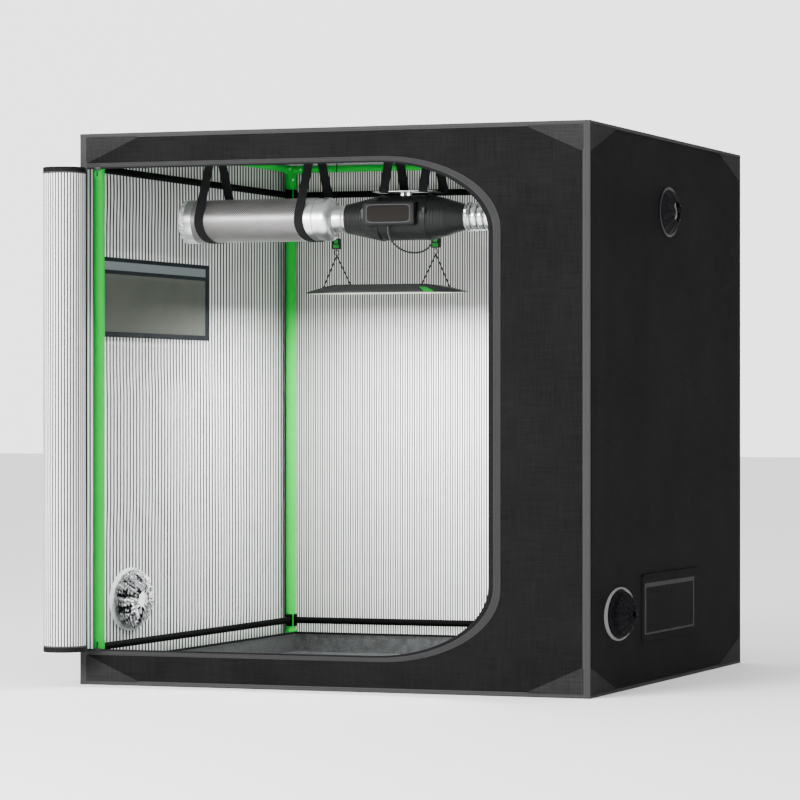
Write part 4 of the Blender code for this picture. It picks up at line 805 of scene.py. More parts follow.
zip_nets = [strip_between(inner_line, hole_line, -0.98775, 0.00085, (0, 0.1, 0.4, 0.6, 0.9, 1)),
            (*capped(coil, coil_uv, coil[0].mean(0), coil[-1].mean(0)), 0)]
make_piece("doorway_zip", zip_nets, [zip_skin], "tent", [], "black_zip")


# Zip sliders: cast bodies with a flat pull on a bail, painted black, parked by the hinge.
slider_skin = powder_coat("slider_black", (0.008, 0.008, 0.009), 0.4, 0.2)


def rounded_box(low, high, edge, skin=0, sides=36, rows=20):
    """Box with rounded edges: each direction of a ball is pushed out to the box.

    With p on the box and c the same point held inside the core, edge less on every side, the
    surface is c + edge (p - c) / |p - c|.
    """
    low, high = np.array(low, float), np.array(high, float)
    rise = np.linspace(-math.pi / 2, math.pi / 2, rows)[:, None]
    turn = np.linspace(0, math.tau, sides + 1)
    ball = grid(np.cos(rise) * np.cos(turn), np.cos(rise) * np.sin(turn), np.sin(rise))
    half = (high - low) / 2
    cube = ball / np.abs(ball).max(-1, keepdims=True) * half
    core = np.clip(cube, edge - half, half - edge)
    length = np.linalg.norm(cube - core, axis=-1, keepdims=True)
    away = np.where(length > 1e-9, (cube - core) / np.maximum(length, 1e-9) * edge, 0)
    return (low + high) / 2 + core + away, grid(turn * half.max(), rise * half.max()), skin


slider_face, pull_long = -0.9884, 0.03
for level, way, level_z in (("upper", -1, 1.904), ("lower", 1, 0.129)):
    low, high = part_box(f"zip_slider_{level}")
    spot = np.array(((low[0] + high[0]) / 2, slider_face, level_z))
    pull = sorted((0, way * pull_long))
    nets = [rounded_box(spot + (-0.013, -0.0048, -0.0055), spot + (0.013, 0, 0.0055), 0.0016),
            rounded_box(spot + (-0.0055, -0.0062, -0.002), spot + (0.0055, -0.003, 0.002), 0.0009),
            rounded_box(spot + (-0.0035, -0.0066, pull[0]), spot + (0.0035, -0.0046, pull[1]), 0.0009)]
    make_piece(f"{level}_slider", nets, [slider_skin], f"{level}_zip_slider", [f"zip_slider_{level}"],
               "black_zip")


# Rolled door: the door panel wound four and a half turns with its foil side out. Black tape binds
# its two ends, and a grey strip sewn to the corner carries it as a hinge.
roll_middle = np.array((-1.01, -1.08))
hinge_line = np.array((-0.962, -0.9893))
roll_low, roll_tall = 0.126, 1.777
roll_outside, roll_core, roll_cloth, roll_turns = 0.083, 0.03, 0.0026, 4.5
toward = math.atan2(*(hinge_line - roll_middle)[::-1])
wound = np.linspace(0, 1, round(roll_turns * 56) + 1)
roll_rows = np.array([0, 0.005, 0.0165, 0.0175, 0.0235, 0.0242, *np.linspace(0.06, 1.717, 34), 1.7528,
                      1.7535, 1.7595, 1.7605, 1.772, roll_tall])[:, None]
turn = toward - math.tau * roll_turns * (1 - wound)
ripple = (0.0008 * np.sin(3 * turn + 2.1 * roll_rows) + 0.0006 * np.sin(5 * roll_rows + turn)
          + 0.0005 * np.sin(21 * turn + 0.4))
radius = roll_core + (roll_outside - 0.0012 - roll_core) * wound + ripple * np.minimum(wound, 0.999)
run = np.concatenate([[0], np.cumsum(np.diff(wound) * math.tau * roll_turns
                                     * (radius[0, 1:] + radius[0, :-1]) / 2)])


def roll_face(size):
    """Points of the spiral at one distance inside its outer face, over all heights."""
    x, y = roll_middle
    return grid(x + size * np.cos(turn), y + size * np.sin(turn), roll_low + roll_rows)


points, uv, slots = two_sided(roll_face(radius), roll_face(radius - roll_cloth), grid(run, roll_rows), 0, 1)
slots[4], slots[-5] = 3, 3
slots[:4], slots[-4:] = 2, 2
band_cloth = oxford("black_binding", (0.007, 0.007, 0.0075), 0.0022, 0.001)
# The door's lining: the near-black stripes in its rib grooves are painted shade.
door_cloth = foil_lining("door_foil_lining", 0.0112, (0.8, 0.8, 0.8), (0.02, 0.02, 0.02))
door = make_piece("rolled_door", [(points, uv, slots)], [door_cloth, black_cloth, band_cloth, grey_tape],
                  "door", ["door_roll"], "white_foil_lining")

strip_long = np.linalg.norm(roll_middle - hinge_line)
strip_way = (roll_middle - hinge_line) / strip_long
strip_side = np.array((-strip_way[1], strip_way[0])) * 0.0006
strip_reach = np.linspace(0.0006, strip_long - roll_outside + 0.001, 8)
strip_rows = np.linspace(roll_low, roll_low + roll_tall, 40)[:, None]
front, rear = (grid(*(hinge_line + strip_reach[:, None] * strip_way + way * strip_side).T, strip_rows)
               for way in (1, -1))
bead = [(0, 0), (0, 0.0012), (0.0003, 0.0015), (1.7767, 0.0015), (1.777, 0.0012), (1.777, 0)]
strip = make_piece("door_hinge_tape", [two_sided(front, rear, grid(strip_reach - 0.01, strip_rows)),
                                       turned((*hinge_line, roll_low), (0, 0, 1), bead, 16)],
                   [grey_tape], "door", ["door_hinge_strip"], "grey_edge_tape")


# Floor tray: a dark grey waterproof coated sheet, folded up at its four sides and finished with a
# black hem. It lifts out.
tray_skin = Skin("grey_tray_cloth")
tray_fold = tray_skin.noise(38, 6, 0.75)
tray_tone = tray_skin.mix(tray_skin.spread(tray_fold, 0.35, 0.65), (0.03, 0.032, 0.032),
                          (0.062, 0.066, 0.066))
tray_height = tray_skin.maths("MULTIPLY_ADD", woven(tray_skin, 0.004), 0.05, tray_fold)
tray_skin = tray_skin.dress(tray_tone, (tray_fold, 0.3, 0.7, 0.35, 0.55), tray_height, 0.004, 0.7, 0.2)
tray_half, tray_tall = 0.9072, 0.086
tray_side = np.linspace(-1, 1, 41)[:-1]
tray_loop = np.concatenate([grid(tray_side, -1), grid(1, tray_side), grid(-tray_side, 1), grid(-1, -tray_side),
                            grid(-1, [-1])])
# The tray's section: out along its underside, up its side, over the hem and back along its inside.
tray_out = [*((d, 0.0038) for d in np.linspace(0, tray_half - 0.002, 16)), (tray_half, 0.0055),
            *((tray_half, z) for z in np.linspace(0.02, 0.078, 5)), (tray_half + 0.0009, 0.0808),
            (tray_half + 0.0009, 0.0895)]
tray_in = [(tray_half - 0.0029, 0.0895), (tray_half - 0.0029, 0.0808),
           *((tray_half - 0.0018, z) for z in np.linspace(0.078, 0.02, 5)), (tray_half - 0.0022, 0.0075),
           *((d, 0.0057) for d in np.linspace(tray_half - 0.004, 0, 16))]
tray_size, tray_z = np.array(tray_out + tray_in).T[:, :, None]
tray_x, tray_y = tray_size * tray_loop[:, 0], tray_size * tray_loop[:, 1]
tray_wave = np.abs(0.0016 * np.sin(9 * tray_x + 7 * tray_y)) * smooth_share((tray_z - 0.012) / 0.03)
tray_wave = 1 - tray_wave * smooth_share(1.02 - np.abs(tray_loop).min(-1))
tray_points = grid(tray_x * tray_wave, tray_y * tray_wave, tray_z)
tray_uv = tray_points[..., :2] + tray_z[..., None] * tray_loop
tray_slots = np.zeros((len(tray_size) - 1, len(tray_loop) - 1), int)
tray_slots[len(tray_out) - 2:len(tray_out) + 1] = 1
tray = make_piece("waterproof_tray", [(tray_points, tray_uv, tray_slots)], [tray_skin, band_cloth], "tent",
                  ["floor_tray"], "tray_cloth")


# Window and vent screens: fine grey insect net in a dark bound edge, with a pale strip along the
# head of the window where its cover fastens.
net_skin = Skin("insect_net")
net_weave, net_drift = woven(net_skin, 0.0034), net_skin.noise(5, 3)
net_share = net_skin.spread(net_skin.maths("MULTIPLY_ADD", net_drift, 0.4, net_weave), 0.35, 1.1)
net_skin = net_skin.dress(net_skin.mix(net_share, (0.045, 0.05, 0.043), (0.15, 0.16, 0.14)),
                          (net_drift, 0.3, 0.7, 0.75, 0.9), net_weave, 0.0006, 0.9, 0.08)
navy_tape = ribbed_tape("navy_binding", (0.006, 0.009, 0.012), stitch=False)
pale_tape = ribbed_tape("pale_fastening_strip", (0.17, 0.19, 0.2), 0.003, False)


def middles(across, up):
    """The middles of the cells between these lines."""
    return np.meshgrid((across[1:] + across[:-1]) / 2, (up[1:] + up[:-1]) / 2)


screen_face = 0.985


def screen_net(way, hole, border, rear_border, head):
    """A flat bound screen in a cut-out: its border cells stand 0.6 mm proud on both faces."""
    front, rear, low, high = np.array(hole) + fit_gap * np.array((1, -1, 1, -1))
    front_in, rear_in, low_in, high_in = front + border, rear - rear_border, low + border, high - head
    across = np.array([front, front + 0.001, front_in - 0.001, front_in,
                       *np.linspace(front_in + 0.02, rear_in - 0.02, 30),
                       rear_in, rear_in + 0.001, rear - 0.001, rear])
    strip_low, strip_high = high_in + 0.015, high - 0.015
    strip = [strip_low - 0.0005, strip_low, strip_high, strip_high + 0.0005] if head > border else []
    up = np.array([low, low + 0.001, low_in - 0.001, low_in, *np.linspace(low_in + 0.02, high_in - 0.02, 10),
                   high_in, high_in + 0.001, *strip, high - 0.001, high])
    v, w = np.meshgrid(across, up)
    bound = (v < front_in - 0.0005) | (v > rear_in + 0.0005) | (w < low_in - 0.0005) | (w > high_in + 0.0005)
    bound &= (v > front) & (v < rear) & (w > low) & (w < high)
    half = np.where(bound, 0.0011, 0.0005)
    mid_v, mid_w = middles(across, up)
    slots = np.where((mid_v < front_in) | (mid_v > rear_in) | (mid_w < low_in) | (mid_w > high_in), 1, 0)
    if strip:
        slots[(mid_w > strip_low) & (mid_w < strip_high) & (mid_v < rear - 0.03)] = 2
    outer, inner = (grid(way * (screen_face + out), v, w) for out in (half, -half))
    return two_sided(outer, inner, grid(v, w), slots, slots, 1)


for side, wall, way, hole, borders in (("window", "left", -1, window_hole, (0.02, 0.042, 0.062)),
                                       ("vent", "right", 1, vent_hole, (0.016, 0.016, 0.016))):
    screen = make_piece(f"{side}_net", [screen_net(way, hole, *borders)], [net_skin, navy_tape, pale_tape],
                        "tent", [f"{side}_screen"], "insect_screen")


# Cover flaps: a black flap over each screen, with grey tape sewn round it above the cut-out's edge.
# It hangs from a sewn bead along its top edge and has a weighted hem along its bottom edge.
flap_hem = 0.03
flap_face, flap_back, bead_middle = 0.9884, 0.987, 0.9909
side_tape, head_tape, foot_tape = 0.018, 0.016, 0.0075
for side, wall, way, hole in (("window", "left", -1, window_hole), ("vent", "right", 1, vent_hole)):
    # The tape's outer edge is the cut-out's own edge; its inner edge lies the tape's width inside it.
    front_tape, rear_tape, low_tape, high_tape = hole
    front, rear, low, high = np.array(hole) + flap_hem * np.array((-1, 1, -1, 1))
    across = np.array([front, front + 0.001, front_tape, front_tape + 0.001, front_tape + side_tape,
                       *np.linspace(front_tape + 0.03, rear_tape - 0.03, 44), rear_tape - side_tape,
                       rear_tape - 0.001, rear_tape, rear - 0.001, rear])
    up = np.array([low, low + 0.0008, low + 0.0072, low + 0.008, low_tape, low_tape + 0.0008,
                   low_tape + foot_tape, *np.linspace(low_tape + 0.02, high_tape - 0.03, 12),
                   high_tape - head_tape, high_tape - 0.0008, high_tape, high - 0.0008, high])
    v, w = np.meshgrid(across, up)
    inset = np.minimum.reduce([v - front, rear - v, w - low, high - w])

    def taped(v, w):
        """True on the rectangle of tape sewn 30 mm inside the flap's edge."""
        inside = (v > front + flap_hem) & (v < rear - flap_hem) & (w > low + flap_hem) & (w < high - flap_hem)
        open_part = (v > front + flap_hem + side_tape) & (v < rear - flap_hem - side_tape)
        return inside & ~(open_part & (w > low + flap_hem + foot_tape) & (w < high - flap_hem - head_tape))

    proud = np.where(w < low + 0.0075, 0.0018, np.where(taped(v, w), 0.0009, 0.0)) * (inset > 0.0001)
    billow = 0.0011 * (0.5 + 0.5 * np.sin(9 * v + 3 * w)) * smooth_share(inset / 0.06)
    outer, inner = (grid(way * (face + billow), v, w) for face in (flap_face + proud, flap_back))
    points, uv, slots = two_sided(outer, inner, grid(v, w), taped(*middles(across, up)).astype(int), 2)
    slots[[0, -1]] = 0
    long = rear - front
    bead = [(0, 0), (0, 0.003), (0.0008, 0.0039), (long - 0.0008, 0.0039), (long, 0.003), (long, 0)]
    nets = [(points, uv, slots), turned((way * bead_middle, front, high), (0, 1, 0), bead, 20)]
    flap = make_piece(f"{side}_cover", nets, [black_cloth, grey_tape, lining], f"{side}_cover",
                      [f"{side}_flap"], "black_oxford_cloth")


# Duct ports: a padded grey collar sewn round each oval cut-out, with a gathered sock of cloth that
# closes round a duct. The left one is lined with crumpled foil and gathered into the room.
def crumpled_foil(name, gathered):
    """Thin foil: painted shade, near black, along the creases between facets, and in gathered foil down in its
    folds and deep inside too.
    """
    skin = Skin(name)
    facets = skin.add("ShaderNodeTexVoronoi", skin.place(), None, 70, feature="DISTANCE_TO_EDGE")
    fine = skin.noise(90, 6, 0.7)
    _, crest, reach = skin.flat()
    if gathered:
        # Painted shade: dark down in the folds and deep inside the sock, silver on the crests and at the mouth.
        ragged = skin.maths("MULTIPLY_ADD", skin.noise(30, 5, 0.65), 2.2, -1.1)
        lit = skin.spread(skin.maths("ADD", crest, ragged), 0.5, 0.62)
        painted_lit_share = skin.maths("MAXIMUM", lit, skin.spread(reach, 0.12, 0.3, 1, 0))
    else:
        # Painted shade: dark along the creases between the facets.
        painted_lit_share = skin.spread(facets, 0.0, 0.04, 0.2, 1)
    silver = skin.mix(skin.spread(fine, 0.38, 0.62), (0.26, 0.26, 0.28), (0.88, 0.88, 0.9))
    return skin.dress(skin.mix(painted_lit_share, (0.012, 0.012, 0.016), silver), (fine, 0.3, 0.7, 0.22, 0.42),
                      skin.maths("MULTIPLY_ADD", fine, 0.6, facets), 0.004, 0.8, metal=0.45)


foil_skin = crumpled_foil("crumpled_foil", False)
sock_foil = crumpled_foil("gathered_foil", True)
sock_cloth = oxford("thin_black_sock", (0.008, 0.008, 0.009), 0.0014, 0.004, 0.55)
collar_tape = ribbed_tape("collar_tape", (0.17, 0.17, 0.172), 0.0025, False)
pale_flange = ribbed_tape("pale_sock_flange", (0.8, 0.81, 0.82), 0.0025, False)
piping = powder_coat("black_piping", (0.02, 0.02, 0.021), 0.45, 0.25)


def flange_net(centre, inside, outside, back, front):
    """Flat oval ring of cloth on a wall, between two ellipses, from its back face to its front."""
    around = np.linspace(0, math.tau, 97)
    share = np.array([0, 0.04, 0.5, 0.96, 1])[:, None]
    wide, tall = (a + (b - a) * share for a, b in zip(inside, outside))
    y, z = centre[0] + wide * np.cos(around), centre[1] + tall * np.sin(around)
    crown = np.array([0.3, 1, 1, 1, 0.3])[:, None]
    return shell_net(grid(back + (front - back) * crown, y, z), grid(back, y, z), grid(y, z), 1, 1, 1)


def collar_net(face, side, hole):
    """Padded oval ring round a port: a flat-sided cross section that is carried round the oval."""
    y, z, half_u, half_v = hole
    around = np.linspace(0, math.tau, 145)
    section = np.linspace(0, math.tau, 17)[:, None]
    lip = 0.0085
    swell = (lip / 2 + 0.001) * (1 + np.cos(section)) - 0.002
    pad = 0.002 + 0.002 * np.sign(np.sin(section)) * np.abs(np.sin(section)) ** 0.7
    return (grid(face + side * pad, y + (0.985 * half_u + swell) * np.cos(around),
                 z + (0.985 * half_v + swell) * np.sin(around)), grid(section * 0.004, around * half_u), 0)


def sock_net(face, hole, reach, stations, folds, crumple, seed):
    """A sock whose edge folds deepen towards its tip.

    Size share at a station s: size(s) (1 + fold(s) (cos(n a + p) + 0.45 cos(2.3 n a)) / 1.45). A
    deeply crumpled sock carries its crests, 0 to 1, and s in place of metres, for the painted shade in its
    folds and deep inside it.
    """
    y, z, half_u, half_v = hole
    a = np.linspace(0, math.tau, 145)
    s = np.linspace(0, 1, 64)[:, None]
    start, size, fold = np.array([(-0.03, 0.97, 0.0), *stations]).T
    size, fold = np.interp(s, start, size), np.interp(s, start, fold)
    deep = smooth_share(s / 0.3)
    wave = (np.cos(folds * a + seed + 0.8 * s) + 0.45 * np.cos(round(2.3 * folds) * a + 2 * seed)) / 1.45
    rough = crumple * deep * (np.sin(19 * a + 23 * s + seed) * np.sin(11 * a - 31 * s)
                              + 0.6 * np.sin(37 * a + 9 * s) * np.cos(47 * s + 5 * a))
    share = size * (1 + fold * wave)
    along = face + reach * (s * (1 + 0.12 * wave * fold) - 0.02) + rough * 0.5

    def lay(inward):
        return grid(along, y + (half_u * share - inward + rough) * np.cos(a),
                    z + (half_v * share - inward + rough) * np.sin(a))
    uv = grid(a * half_u, s * reach)
    # A crumpled sock's uv carries how lit each point is, for painted shade in its folds.
    if crumple > 0.004:
        uv = grid(np.clip(0.62 + 0.3 * wave * deep + 0.22 * rough / crumple, 0, 1), s)
    return shell_net(lay(0.0), lay(0.0014), uv)


collar_face = 0.9869
# A sock's stations: the share of its reach, its size there and how deep its folds are.
upper_stations = ((0.1, 0.97, 0.01), (0.3, 0.9, 0.05), (0.6, 0.72, 0.1), (0.85, 0.55, 0.12), (1.0, 0.44, 0.12))
lower_stations = ((0.07, 0.97, 0.01), (0.45, 0.88, 0.05), (0.75, 0.6, 0.1), (0.92, 0.36, 0.14),
                  (1.0, 0.22, 0.18))
left_stations = ((0.05, 0.98, 0.01), (0.3, 0.97, 0.03), (0.6, 0.86, 0.07), (0.85, 0.62, 0.12), (1.0, 0.3, 0.16))
# For each port: place, side, cut-out; the sock's reach, stations, number of folds, crumple and seed;
# the collar's skins and the sock's; the flange's ovals and faces; the finish and the cut length.
ports = (
    ("upper", 1, upper_port, (0.035, upper_stations, 11, 0.0008, 0.3), [piping, sock_cloth], sock_cloth,
     None, "black_oxford_cloth", 0.053),
    ("lower", 1, lower_port, (0.058, lower_stations, 13, 0.003, 1.1), [sock_cloth, collar_tape], sock_cloth,
     ((0.15, 0.088), (0.187, 0.096), 0.9864, 0.9886), "black_oxford_cloth", 0.092),
    ("left", -1, left_port, (0.06, left_stations, 11, 0.007, 2.3), [collar_tape, pale_flange], sock_foil,
     ((0.147, 0.107), (0.189, 0.119), -0.9843, -0.9825), "silver_foil", 0.157))
for place, side, hole, shape, collar_skins, sock_skin, flange, finish, cut_length in ports:
    face = side * collar_face
    nets = [collar_net(face, side, hole)] + ([flange_net(hole[:2], *flange)] if flange else [])
    collar = make_piece(f"{place}_port_collar", nets, collar_skins, "tent", [], "grey_edge_tape")
    sock = make_piece(f"{place}_port_sock", [sock_net(face, hole, *shape)], [sock_skin], "tent",
                      [f"duct_port_{place}"], finish)


# Air filter: a round can of punched galvanised sheet between two plain rolled bands. Its left end
# is closed by a crimped foil lid, and a pressed steel cap with a neck closes its right end.
def brushed(name, colour, roughness, streak=260.0):
    """Metal drawn round its axis: noise stretched into fine rings, dark and light bands along the axis that are
    painted reflections, and smears.
    """
    skin = Skin(name)
    rings = skin.drawn(skin.place(), (streak, 6.0, 6.0), 4, 0.6)
    painted_reflection_bands = skin.drawn(skin.place(), (1.2, 13.0, 13.0), 2, 0.4)
    smear = skin.noise(22, 4, 0.6)
    # Painted reflection: dark bands along the axis stand for the room mirrored in the metal.
    tone = skin.maths("MULTIPLY_ADD", smear, 0.1, skin.spread(painted_reflection_bands, 0.42, 0.58, 0, 0.95))
    uneven = skin.maths("MULTIPLY_ADD", smear, 0.3, rings)
    return skin.dress(skin.mix(tone, np.multiply(colour, 0.36), colour),
                      (uneven, 0.4, 0.95, roughness * 0.85, roughness * 1.2), rings, 0.00004, 0.3, metal=1.0)


bright_steel = brushed("bright_rolled_steel", (0.8, 0.81, 0.81), 0.36)
hole_pitch = 0.0085
punched = Skin("punched_sheet")
_, across, along = punched.flat()
punched_rows = punched.maths("MULTIPLY", punched.wave(across, hole_pitch, "COSINE"),
                             punched.wave(along, hole_pitch, "COSINE"))
punched_holes = punched.spread(punched_rows, 0.15, 0.4)
punched_tone = punched.mix(punched.noise(12, 4), (0.2, 0.192, 0.192), (0.3, 0.288, 0.288))
punched_skin = punched.dress(punched.mix(punched_holes, punched_tone, (0.03, 0.029, 0.03)),
                             (punched_holes, 0, 1, 0.38, 0.8), punched.maths("SUBTRACT", 1.0, punched_holes),
                             0.0008, 0.9, metal=punched.spread(punched_holes, 0, 1, 0.9, 0.1))

duct_axis = (0, filter_y, 1.728)
can_profile = [(-0.8, 0), (-0.8, 0.055), (-0.7985, 0.0695), (-0.7965, 0.0745), (-0.7945, 0.0762),
               (-0.794, 0.0812), (-0.7925, 0.0825), (-0.776, 0.0825), (-0.746, 0.0825), (-0.7452, 0.0822),
               (-0.7448, 0.0813), (-0.7, 0.0812), (-0.6, 0.0812), (-0.5, 0.0812), (-0.4, 0.0812),
               (-0.3085, 0.0812), (-0.3081, 0.0822), (-0.3073, 0.0825), (-0.2545, 0.0825), (-0.2535, 0.0822),
               (-0.253, 0.0812), (-0.2525, 0.0788), (-0.25, 0.0785), (-0.229, 0.0785), (-0.2265, 0.0788),
               (-0.226, 0.077), (-0.2525, 0.0765), (-0.256, 0.079), (-0.79, 0.079), (-0.7925, 0.07),
               (-0.797, 0.055), (-0.797, 0)]
can_slots = np.zeros((len(can_profile) - 1, 96), int)
can_slots[10:15] = 1
can_slots[:7] = 2
crimp = np.linspace(0, math.tau, 145)
crimp_rows = np.linspace(0, 1, 9)[:, None]
crimp_bulge = np.sin(math.pi * crimp_rows)
crimp_size = (0.058 + 0.017 * np.sin(math.pi / 2 * crimp_rows)
              + 0.0016 * np.where(np.sin(24 * crimp) > 0, 1, -1) * crimp_bulge)
crimp_out = -0.799 + 0.0055 * crimp_rows ** 2 + 0.001 * np.sin(24 * crimp + 1) * crimp_bulge
lid_faces = [grid(crimp_out + back, duct_axis[1] + crimp_size * np.cos(crimp),
                  duct_axis[2] + crimp_size * np.sin(crimp)) for back in (0, 0.0015)]
can_nets = [(*turned(duct_axis, (1, 0, 0), can_profile, 96)[:2], can_slots),
            shell_net(*lid_faces, grid(crimp * 0.07, crimp_rows * 0.02), 2, 2, 2)]
make_piece("filter_can", can_nets, [bright_steel, punched_skin, foil_skin], "tent", ["filter_body"],
           "galvanised_steel")

polished = brushed("polished_pressed_steel", (0.8, 0.81, 0.82), 0.34, 90.0)
cap_profile = [(-0.2257, 0.0815), (-0.2257, 0.0825), (-0.212, 0.0825), (-0.2075, 0.0822), (-0.2, 0.0805),
               (-0.1935, 0.0765), (-0.1893, 0.0715), (-0.187, 0.066), (-0.1858, 0.058), (-0.1852, 0.0535),
               (-0.184, 0.0515), (-0.182, 0.051), (-0.148, 0.051), (-0.1465, 0.0515), (-0.145, 0.0525),
               (-0.1435, 0.0515), (-0.142, 0.051), (-0.1245, 0.051), (-0.1237, 0.0505), (-0.1237, 0.0495),
               (-0.185, 0.0495), (-0.1872, 0.058), (-0.19, 0.069), (-0.196, 0.077), (-0.205, 0.081),
               (-0.2257, 0.0815)]
make_piece("filter_cap", [turned(duct_axis, (1, 0, 0), cap_profile, 96)], [polished], "tent",
           ["filter_outlet_cap"], "polished_steel")


# Inline fan: a moulded black casing of two cones, with clamp bands at the ends of its straight part,
# a steel bracket on top, and inside it the motor pod on five vanes.
def moulded(name, colour, roughness):
    """Moulded plastic: fine spark-eroded grain, slow gloss changes and light scuffs."""
    skin = Skin(name)
    scuff = skin.noise(26, 6, 0.7)
    tone = skin.mix(skin.spread(scuff, 0.5, 0.75), colour, np.multiply(colour, 1.7))
    return skin.dress(tone, (scuff, 0.35, 0.7, roughness * 0.8, roughness * 1.3), skin.noise(1100, 2, 0.5),
                      0.0002, 0.6, 0.2)


black_plastic = moulded("black_moulded_plastic", (0.0065, 0.0068, 0.007), 0.5)
dark_plastic = moulded("dark_gloss_plastic", (0.004, 0.004, 0.0045), 0.4)
grey_metal = brushed("grey_clamp_steel", (0.4, 0.41, 0.42), 0.28)


def ring_steps(start, end, from_radius, to_radius, count, raise_each):
    """A cone whose face steps in fine moulded rings: each ring is a raised half wave."""
    share = np.linspace(0, 1, count * 6 + 1)
    ring = raise_each * np.maximum(0, np.sin(share * count * math.tau))
    return grid(start + (end - start) * share, from_radius + (to_radius - from_radius) * share + ring)


fan_profile = [(-0.134, 0.0535), (-0.134, 0.0552), (-0.1332, 0.056), (-0.123, 0.056), (-0.122, 0.0565),
               *ring_steps(-0.12, -0.006, 0.0572, 0.0828, 9, 0.0007),
               (-0.004, 0.0835), (0.0035, 0.0835), (0.0038, 0.085), (0.0045, 0.0855), (0.0115, 0.0855),
               (0.0122, 0.085), (0.0125, 0.0835), (0.06, 0.0835), (0.13, 0.0835), (0.1925, 0.0835),
               (0.1928, 0.085), (0.1935, 0.0855), (0.2003, 0.0855), (0.201, 0.0835),
               *ring_steps(0.2015, 0.2705, 0.0833, 0.0673, 6, 0.0006),
               (0.272, 0.067), (0.2725, 0.0658), (0.3, 0.0575), (0.325, 0.0508), (0.3355, 0.0477),
               (0.337, 0.0472), (0.337, 0.0452), (0.3, 0.0545), (0.272, 0.0645), (0.201, 0.081),
               (-0.004, 0.081), (-0.12, 0.0548), (-0.134, 0.0535)]
pod_profile = [(0.131, 0), (0.131, 0.031), (0.134, 0.034), (0.195, 0.034), (0.199, 0.03), (0.201, 0.012),
               (0.201, 0)]
fan_nets = [turned(duct_axis, (1, 0, 0), fan_profile, 96), turned(duct_axis, (1, 0, 0), pod_profile, 48)]
reach, level = np.meshgrid(np.linspace(0.134, 0.198, 6), np.linspace(0.032, 0.082, 6))
curve = 0.006 * np.sin((reach - 0.134) / 0.064 * math.pi / 2)
for lean in math.tau * np.arange(5) / 5:
    cos, sin = math.cos(lean), math.sin(lean)
    faces = [grid(reach, duct_axis[1] + y * cos - level * sin, duct_axis[2] + y * sin + level * cos)
             for y in (curve - 0.0014, curve + 0.0014)]
    fan_nets.append(two_sided(*faces, grid(reach, curve)))
fan_nets.append(rounded_box((-0.0215, -0.5, 1.8235), (0.2185, -0.4, 1.8275), 0.0015, 2))
fan_nets += [rounded_box((x - 0.006, -0.462, 1.808), (x + 0.006, -0.438, 1.8245), 0.0015, 2)
             for x in (0.0865, 0.1105)]
clamp = [(0, 0.0852), (0, 0.0858), (0.0004, 0.0862), (0.006, 0.0862), (0.0064, 0.0858), (0.0064, 0.0852)]
for x in (0.008, 0.197):
    fan_nets += [turned((x - 0.0032, *duct_axis[1:]), (1, 0, 0), clamp, 96, 1),
                 rounded_box((x - 0.007, -0.5385, 1.738), (x + 0.007, -0.5315, 1.762), 0.002, 1)]
make_piece("fan_shell", fan_nets, [black_plastic, dark_plastic, grey_metal], "tent", ["fan_casing"],
           "black_plastic")
# The hidden impeller keeps its own solid, in the casing's plastic.
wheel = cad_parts["fan_impeller"]
wheel.data.materials.clear()
wheel.data.materials.append(black_plastic)


# Control box: a moulded case that sits against the fan, with a bare dark screen set in its face, a
# snap latch at its left and a gland underneath for the lead.
grey_plastic = moulded("grey_moulded_plastic", (0.03, 0.032, 0.034), 0.45)
screen_skin = Skin("dark_glass")
screen_smear = screen_skin.noise(18, 5, 0.6)
screen_tone = screen_skin.mix(screen_smear, (0.012, 0.0105, 0.0095), (0.018, 0.016, 0.0145))
screen_skin = screen_skin.dress(screen_tone, (screen_smear, 0.3, 0.7, 0.5, 0.65), screen_smear,
                                0.0001, 0.2, 0.03)


def frame_ring(low, high, front, thick, wide, skin):
    """A raised rounded frame on a face across Y: two nested rounded rectangles, closed round."""
    turn = np.linspace(0, math.tau, 73)
    low, high = np.array(low), np.array(high)
    square = grid(np.cos(turn), np.sin(turn))
    square = np.sign(square) * np.abs(square) ** 0.28
    drawn, up = np.array([(0, 0.0), (0, thick), (wide * 0.2, thick * 1.25), (wide * 0.8, thick * 1.25),
                          (wide, thick), (wide, 0.0), (0, 0.0)]).T[:, :, None]
    x, z = ((low[k] + high[k]) / 2 + square[:, k] * ((high[k] - low[k]) / 2 - drawn) for k in (0, 1))
    return grid(x, front - up, z), grid(x, z), skin


gland = [(0, 0), (0, 0.004), (0.001, 0.0055), (0.0035, 0.0055), (0.004, 0.0048), (0.005, 0.0048),
         (0.0055, 0.0058), (0.012, 0.0058), (0.012, 0)]
box_nets = [rounded_box((-0.036, -0.562, 1.695), (0.17, -0.482, 1.786), 0.012, sides=72, rows=40),
            frame_ring((-0.02, 1.706), (0.154, 1.775), -0.5618, 0.001, 0.003, 1),
            rounded_box((-0.0165, -0.5626, 1.7095), (0.1505, -0.558, 1.7715), 0.0015, 2),
            rounded_box((-0.047, -0.548, 1.722), (-0.03, -0.5, 1.762), 0.003, 1),
            turned((0.057, -0.534, 1.687), (0, 0, 1), gland, 24, 1)]
make_piece("fan_controller", box_nets, [black_plastic, grey_plastic, screen_skin], "tent",
           ["fan_control_box"], "black_plastic")


